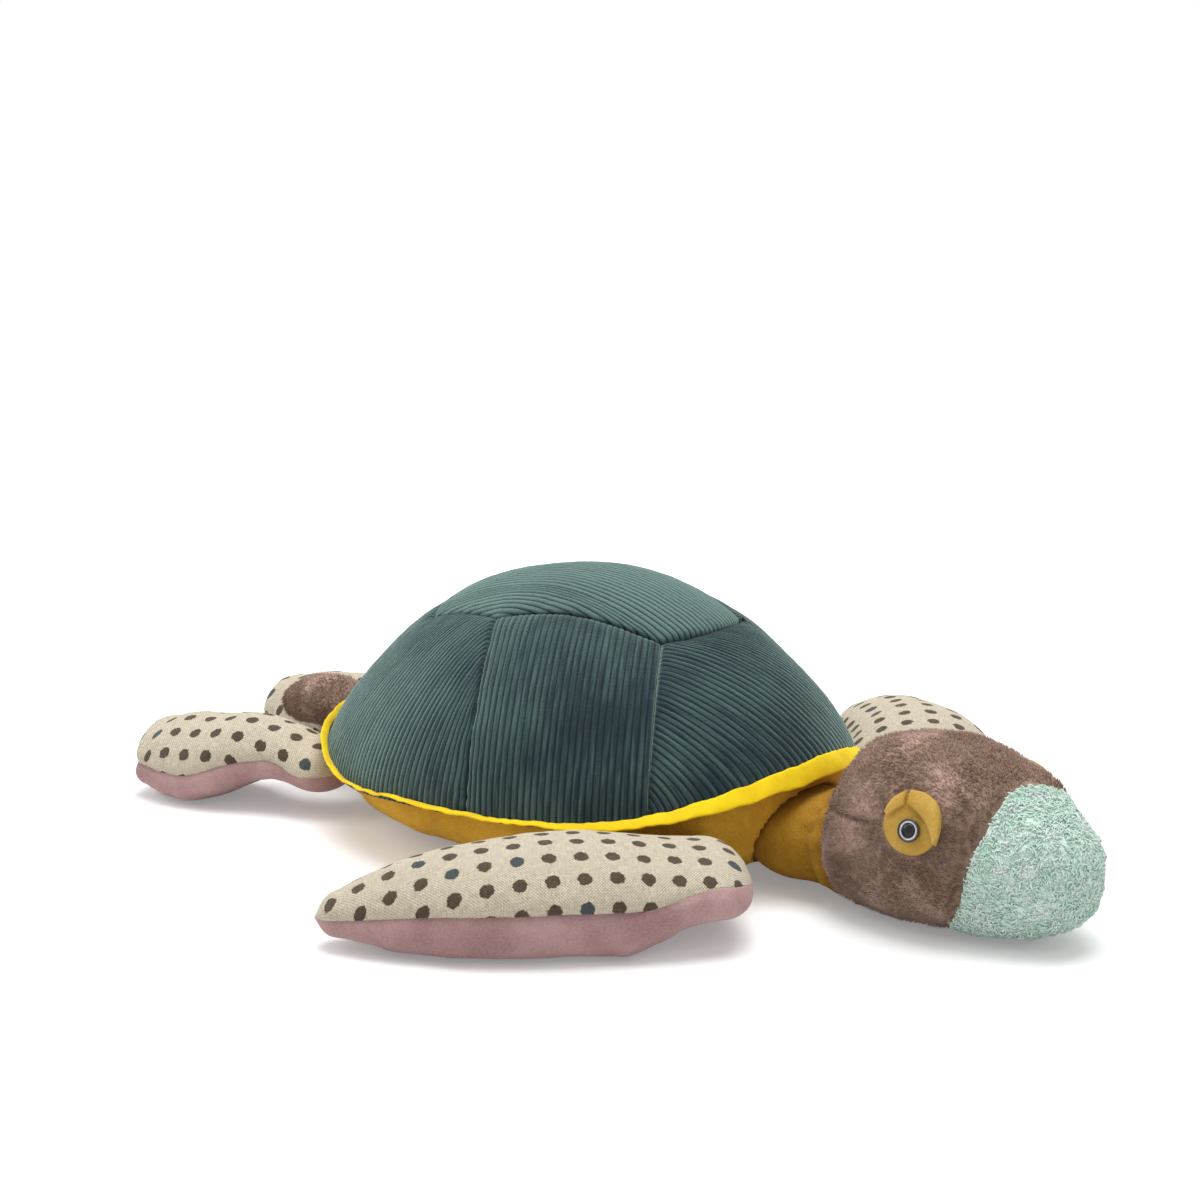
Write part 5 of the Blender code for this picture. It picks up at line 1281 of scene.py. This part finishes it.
def standing(spots, up, lean, size):
    # one matrix a copy: Z along the lean direction, scaled by size (n x 3)
    z = lean / np.linalg.norm(lean, axis=1, keepdims=True)
    x = np.cross(up, z)
    x /= np.maximum(np.linalg.norm(x, axis=1, keepdims=True), 1e-9)
    y = np.cross(z, x)
    turned = np.stack([x * size[:, :1], y * size[:, 1:2], z * size[:, 2:3]], 2)
    return np.concatenate([turned, spots[:, :, None]], 2)


def drawnSizes(count, kind):
    size = draws.uniform(*kind["sizes"], (count, 1)) * np.ones((1, 3))
    size[:, 2] *= draws.uniform(*kind["lengths"], count)
    return size


fur = {"tufts": 20000, "tailTufts": 4200, "length": 0.0026, "radius": 0.00040, "lie": 0.90,
       "bends": ((0.55, 0.85, 0.20), (1.0, 0.05, 0.60)), "wander": (45, 1.6), "stray": 0.25,
       "liftSpread": 0.14, "sizes": (0.7, 1.25), "lengths": (0.75, 1.15), "sunk": 0.0004,
       "floorRoom": 0.0042, "napeRoom": 0.0012, "seamRoom": 0.0003, "feltRoom": 0.0002,
       "overFelt": 0.0018}


def tuftMesh():
    # a short lock of pile, bent over at its middle
    lock = bmesh.new()
    bmesh.ops.create_circle(lock, segments=3, radius=fur["radius"])
    edges = lock.edges[:]
    before, shift, size = 0.0, 0.0, 1.0
    for high, wide, bend in fur["bends"]:
        grown = bmesh.ops.extrude_edge_only(lock, edges=edges)["geom"]
        verts = [item for item in grown if isinstance(item, bmesh.types.BMVert)]
        edges = [item for item in grown if isinstance(item, bmesh.types.BMEdge)]
        middle = sum((vert.co for vert in verts), Vector()) / len(verts)
        bmesh.ops.scale(lock, verts=verts, vec=(wide / size, wide / size, 1),
                        space=Matrix.Translation(-middle))
        bmesh.ops.translate(lock, verts=verts, vec=(0, (bend - shift) * fur["length"],
                                                    (high - before) * fur["length"]))
        before, shift, size = high, bend, wide
    bmesh.ops.remove_doubles(lock, verts=lock.verts[:], dist=0.00004)
    bmesh.ops.recalc_face_normals(lock, faces=lock.faces[:])
    return meshFrom(lock, "tuft")


def makeFur(name, table, count, allowed, nap, body, matrix=None):
    normals = tableNormals(table)
    spots, up = surfaceSpots(table, normals, count, allowed)
    # locks lie along the nap, which wanders in patches
    scale, strength = fur["wander"]
    wander = np.stack([noiseAt(spots, scale, seed) for seed in (31, 32, 33)], 1)
    flow = np.broadcast_to(np.array(nap, float), spots.shape) + wander * strength
    flow = flow + draws.normal(0, fur["stray"], spots.shape)
    flow = flow - up * np.einsum("ij,ij->i", flow, up)[:, None]
    flow /= np.maximum(np.linalg.norm(flow, axis=1, keepdims=True), 1e-9)
    lift = (1 - fur["lie"]) + draws.random((count, 1)) * fur["liftSpread"]
    lean = up * lift + flow * (1 - lift)
    matrices = standing(spots - up * fur["sunk"], up, lean, drawnSizes(count, fur))
    mesh = scatter(name, tuftMesh(), matrices)
    if matrix is not None:
        mesh.transform(matrix)
    share = len(mesh.vertices) // count
    keepNumbers(mesh, "lock", np.repeat(draws.random(count), share))
    return addPiece(name, mesh, finishes["lock"], body)


terry = {"loops": 6000, "radius": 0.00110, "yarn": 0.00040, "arc": 200, "lean": 0.42,
         "sizes": (0.75, 1.45), "lengths": (0.7, 1.1), "sunk": 0.0002, "seamRoom": 0.0006}


def loopMesh():
    loop = bmesh.new()
    section = bmesh.ops.create_circle(loop, segments=3, radius=terry["yarn"])["verts"]
    bmesh.ops.translate(loop, verts=section, vec=(terry["radius"], 0, 0))
    bmesh.ops.spin(loop, geom=loop.verts[:] + loop.edges[:], axis=(0, -1, 0), cent=(0, 0, 0),
                   angle=math.radians(terry["arc"]), steps=5)
    bmesh.ops.holes_fill(loop, edges=[edge for edge in loop.edges if edge.is_boundary], sides=0)
    bmesh.ops.recalc_face_normals(loop, faces=loop.faces[:])
    return meshFrom(loop, "loop")


def makeLoops(table, allowed):
    normals = tableNormals(table)
    count = terry["loops"]
    spots, up = surfaceSpots(table, normals, count, allowed)
    lean = up + draws.normal(0, terry["lean"], spots.shape)
    around = draws.normal(0, 1, spots.shape)
    matrices = standing(spots - up * terry["sunk"], around, lean, drawnSizes(count, terry))
    mesh = scatter("muzzleLoops", loopMesh(), matrices)
    mesh.transform(headPlace)
    addPiece("muzzleLoops", mesh, finishes["terry"], "head")


# the rim's outline is in shares of its radius and in heights, and the lid's inner and outer
# edges are in millimetres ahead of and above the eye
eye = {"patch": (0.0156, 0.0160), "patchShift": (-0.0008, 0.0036), "felt": 0.0016,
       "patchCut": 0.0150, "cutWay": (-0.66, 0.75), "feltEdge": 0.22,
       "rimRadius": 0.0061, "rimHeight": 0.0022, "rim": (
           (0, -0.0012), (0.9, -0.0012), (0.985, 0.0004), (1, 0.0010), (0.98, 0.0017),
           (0.94, 0.0021), (0.89, 0.0021), (0.86, 0.0018), (0.845, 0.0012), (0, 0.0011)),
       "ring": (0.00448, 0.00062, 0.00135, 0.00032), "pupil": (0.0038, 0.0016, 0.0012),
       "Lid": {"thick": 0.0032, "sunk": 0.0001, "edges": (
           [(-5.0, 12.6), (-1.2, 10.6), (4.7, 7.6), (9.4, 3.4), (12.0, -0.6), (13.8, -4.0)],
           [(-6.0, 19.2), (3.0, 19.8), (10.6, 15.0), (15.0, 7.6), (15.8, 1.0), (15.0, -4.6)])},
       "LidFlap": {"thick": 0.0032 * 0.85, "sunk": 0.0002, "edges": (
           [(-13.6, 4.4), (-11.8, 7.0), (-9.4, 9.2), (-6.2, 11.8)],
           [(-16.2, 6.0), (-15.4, 10.6), (-12.6, 15.0), (-7.8, 18.7)])}}


def eyeFrame(label):
    # the eye's place and outward direction, from its ring in the CAD model
    side = -1 if label == "right" else 1
    points = readPoints(bpy.data.objects[label + "_eye_ring"].data)
    centre = points.mean(0)
    out = np.linalg.svd(points - centre)[2][2]
    out = out * np.sign(out[1]) * side
    ahead = np.array(headTurn.to_3x3() @ Vector((1, 0, 0)))
    ahead = ahead - out * (ahead @ out)
    ahead /= np.linalg.norm(ahead)
    up = np.cross(out, ahead) * -side
    bezel = readPoints(bpy.data.objects[label + "_eye_bezel"].data)
    base = ((bezel - centre) @ out).max() - eye["rimHeight"]
    return {"centre": centre + out * base, "out": out, "ahead": ahead, "up": up}


def onSkin(skin, place, a, b, h):
    # a point h above the head's skin, a ahead of and b above the eye
    points = np.empty(np.shape(a) + (3,))
    out = Vector(place["out"])
    for index in np.ndindex(np.shape(a)):
        start = Vector(place["centre"] + place["ahead"] * a[index] + place["up"] * b[index])
        hit, normal, _, _ = skin.ray_cast(start + out * 0.03, -out)
        if hit is None:
            hit, normal, _, _ = skin.find_nearest(start)
        if normal.dot(out) < 0:
            normal = -normal
        points[index] = hit + (normal * 0.6 + out * 0.4).normalized() * h[index]
    return points


def resampled(line, count):
    line = np.array(line, float)
    for _ in range(2):  # round off the corners
        cut = [line[0]]
        for start, end in zip(line[:-1], line[1:]):
            cut += [start * 0.75 + end * 0.25, start * 0.25 + end * 0.75]
        line = np.array(cut + [line[-1]])
    run = runAlong(line)
    return pointsAt(line, run, np.linspace(0, run[-1], count))


def padTable(inner, outer, thick, rows=44, columns=32, lift=0.0, under=0.0003):
    # a felt shape between two edges: a, b and height; the section is a flat oval
    near, far = resampled(inner, rows - 1), resampled(outer, rows - 1)
    turn = 2 * math.pi * np.arange(columns) / columns
    share = (1 - np.cos(turn)) / 2
    full = np.abs(np.sin(turn)) ** eye["feltEdge"]
    top, low = np.where(np.sin(turn) >= 0, full, 0), np.where(np.sin(turn) < 0, full, 0)
    flat = near[:, None] * (1 - share[None, :, None]) + far[:, None] * share[None, :, None]
    end = np.minimum(1, np.minimum(np.arange(rows - 1), np.arange(rows - 1)[::-1]) / 2.0 + 0.45)
    height = lift + thick * top[None] * end[:, None] - under * low[None]
    table = np.concatenate([flat, height[..., None]], 2)
    first, last = table[0].mean(0), table[-1].mean(0)
    ends = [np.broadcast_to(point, (1, columns, 3)) for point in (first, last)]
    return np.concatenate([ends[0], table, ends[1]])


def turnedMesh(profile, segments=48):
    # a profile of (radius, height) turned about Z
    piece = bmesh.new()
    verts = [piece.verts.new((radius, 0, height)) for radius, height in profile]
    edges = [piece.edges.new(pair) for pair in zip(verts[:-1], verts[1:])]
    if profile[0][0] > 0:
        edges.append(piece.edges.new((verts[-1], verts[0])))
    bmesh.ops.spin(piece, geom=verts + edges, axis=(0, 0, 1), cent=(0, 0, 0),
                   angle=2 * math.pi, steps=segments, use_merge=True)
    bmesh.ops.remove_doubles(piece, verts=piece.verts[:], dist=0.000001)
    bmesh.ops.recalc_face_normals(piece, faces=piece.faces[:])
    return piece


def makeEye(label, skin):
    place = eyeFrame(label)
    name = label + "Eye"

    def feltPiece(title, table, node):
        mesh = ballMesh(name + title, onSkin(skin, place, *np.moveaxis(table, -1, 0)))[0]
        mendNormals(mesh)
        addPiece(name + title, mesh, finishes["felt"], "head", [label + node])

    a, b = eye["patch"]
    shiftA, shiftB = eye["patchShift"]
    turn = np.linspace(0, math.pi, 60)
    # the patch's upper rear corner is cut off slantwise
    upper = np.stack([-a * np.cos(turn), b * np.sin(turn)], -1)
    lower = np.stack([-a * np.cos(turn), -b * np.sin(turn)], -1)
    way = np.array(eye["cutWay"])
    upper = upper - np.maximum(0, upper @ way - eye["patchCut"])[:, None] * way
    table = padTable(lower + (shiftA, shiftB), upper + (shiftA, shiftB), eye["felt"], rows=56,
                     columns=40, under=0.0008)
    feltPiece("Patch", table, "_eye_patch")
    for title, node in (("Lid", "_eye_eyelid"), ("LidFlap", "_eye_eyelid_flap")):
        edges = [np.array(edge) * 0.001 for edge in eye[title]["edges"]]
        feltPiece(title, padTable(*edges, eye[title]["thick"], lift=eye["felt"] - eye[title]["sunk"]),
                  node)

    matrix = Matrix([list(row) for row in np.stack([place["ahead"], place["up"], place["out"]], 1)])
    matrix = Matrix.Translation(Vector(place["centre"])) @ matrix.to_4x4()
    rimProfile = [(eye["rimRadius"] * share, level) for share, level in eye["rim"]]
    turn = np.linspace(0, 2 * math.pi, 13)[:-1]
    middle, half, level, rise = eye["ring"]
    ringProfile = [(middle + half * math.cos(t), level + rise * math.sin(t)) for t in turn]
    wide, rise, level = eye["pupil"]
    dome = np.linspace(math.pi / 2, 0, 14)[1:]
    pupilProfile = [(0, level + rise)]
    pupilProfile += [(wide * math.cos(t), level + rise * math.sin(t)) for t in dome]
    pupilProfile += [(wide - 0.0001, level - 0.0003), (0, level - 0.0003)]
    for title, profile, finish, slot, node in (
            ("Rim", rimProfile, "bezel", "eye_rim", "_eye_bezel"),
            ("Ring", ringProfile, "ring", "eye_ring", "_eye_ring"),
            ("Pupil", pupilProfile, "pupil", "eye_pupil", "_eye_pupil")):
        piece = turnedMesh(profile)
        piece.transform(matrix)
        bmesh.ops.recalc_face_normals(piece, faces=piece.faces[:])
        addPiece(name + title, meshFrom(piece, name + title), finishes[finish], "head",
                 [label + node])
    washer = bpy.data.objects[label + "_eye_washer"]
    for spot in washer.material_slots:
        spot.material = finishes["nylon"]
    return place


makeBelly()
makeRim()
for count, limb in enumerate(limbs[:4]):
    makeFlipper(limb, 10 * count + 1)
makeTail(limbs[4])
print("flippers and tail done")
makeNeck()
dressHead(*makeHead())


# Floor, light and camera

stage = {"photoTurn": 38, "eyeHeight": 16, "distance": 1.5, "pixel": 0.000588,
         "middle": (590, 832), "image": 1200, "floor": 4.0, "floorDrop": 0.0006,
         "paper": (0.86, 0.86, 0.86, 1), "glow": (0.35, 1.3, 0.24, 0.95), "sky": (0.40, 1.0),
         "lights": {"topLight": ((0.0, 0.1, 1.9), 1.6, 35), "keyLight": ((-1.3, -0.9, 1.1), 1.2, 8),
                    "fillLight": ((1.5, -1.0, 1.2), 1.4, 4),
                    "backLight": ((-0.3, 1.4, 1.5), 1.4, 6)}}


def makeStage():
    floorMesh = bmesh.new()
    bmesh.ops.create_grid(floorMesh, x_segments=2, y_segments=2, size=stage["floor"])
    bmesh.ops.translate(floorMesh, verts=floorMesh.verts[:], vec=(0, 0, -stage["floorDrop"]))
    mesh = meshFrom(floorMesh, "floor")
    floor = bpy.data.objects.new("floor", mesh)
    bpy.context.collection.objects.link(floor)
    material = bpy.data.materials.new("floorPaper")
    material.use_nodes = True
    tree = material.node_tree
    tree.nodes.clear()
    rays = addNode(tree, "ShaderNodeLightPath")
    seen = calc(tree, "MAXIMUM", rays.outputs["Is Camera Ray"], rays.outputs["Is Glossy Ray"])
    matt = addNode(tree, "ShaderNodeBsdfDiffuse", {"Color": stage["paper"]})
    away = addNode(tree, "ShaderNodeVectorMath", {0: objectPoint(tree)}, operation="LENGTH")
    pale = ramp(tree, away.outputs["Value"], *stage["glow"])
    glow = addNode(tree, "ShaderNodeEmission", {"Strength": calc(tree, "MULTIPLY", seen, pale)})
    both = addNode(tree, "ShaderNodeAddShader", {0: matt.outputs[0], 1: glow.outputs[0]})
    out = addNode(tree, "ShaderNodeOutputMaterial", {"Surface": both.outputs[0]})
    out.is_active_output = True
    mesh.materials.append(material)

    world = bpy.data.worlds.new("studio")
    bpy.context.scene.world = world
    world.use_nodes = True
    tree = world.node_tree
    sky = tree.nodes["Background"]
    rays = addNode(tree, "ShaderNodeLightPath")
    seen = calc(tree, "MAXIMUM", rays.outputs["Is Camera Ray"],
                calc(tree, "MAXIMUM", rays.outputs["Is Glossy Ray"],
                     rays.outputs["Is Transmission Ray"]))
    sky.inputs["Color"].default_value = (1, 1, 1, 1)
    tree.links.new(ramp(tree, seen, 0, 1, *stage["sky"]), sky.inputs["Strength"])
    for name, (place, size, power) in stage["lights"].items():
        light = bpy.data.lights.new(name, "AREA")
        light.energy = power
        light.size = size
        lamp = bpy.data.objects.new(name, light)
        bpy.context.collection.objects.link(lamp)
        lamp.location = place
        lamp.rotation_euler = (-Vector(place)).to_track_quat("-Z", "Y").to_euler()


def makeCamera():
    turn, rise = math.radians(stage["photoTurn"]), math.radians(stage["eyeHeight"])
    focus = stage["distance"] / stage["pixel"]
    half = stage["image"] / 2
    pitch = rise - math.atan((stage["middle"][1] - half) / focus)
    ahead = Vector((-math.sin(turn), math.cos(turn), 0))
    place = (Vector((0, 0, math.sin(rise))) - ahead * math.cos(rise)) * stage["distance"]
    look = ahead * math.cos(pitch) - Vector((0, 0, math.sin(pitch)))
    right = Vector((math.cos(turn), math.sin(turn), 0))
    depth = (-place).dot(look)
    place -= right * ((stage["middle"][0] - half) / focus) * depth
    place.x += shellX
    data = bpy.data.cameras.new("photoCamera")
    data.sensor_width = 36
    data.lens = 36 * (depth / stage["pixel"]) / stage["image"]
    data.clip_end = 20
    camera = bpy.data.objects.new("photoCamera", data)
    bpy.context.collection.objects.link(camera)
    up = right.cross(look)
    camera.matrix_world = Matrix.Translation(place) @ Matrix((right, up, -look)).transposed().to_4x4()
    bpy.context.scene.camera = camera
    bpy.context.scene.view_settings.view_transform = "Standard"


makeStage()
makeCamera()
print("stage and camera done")
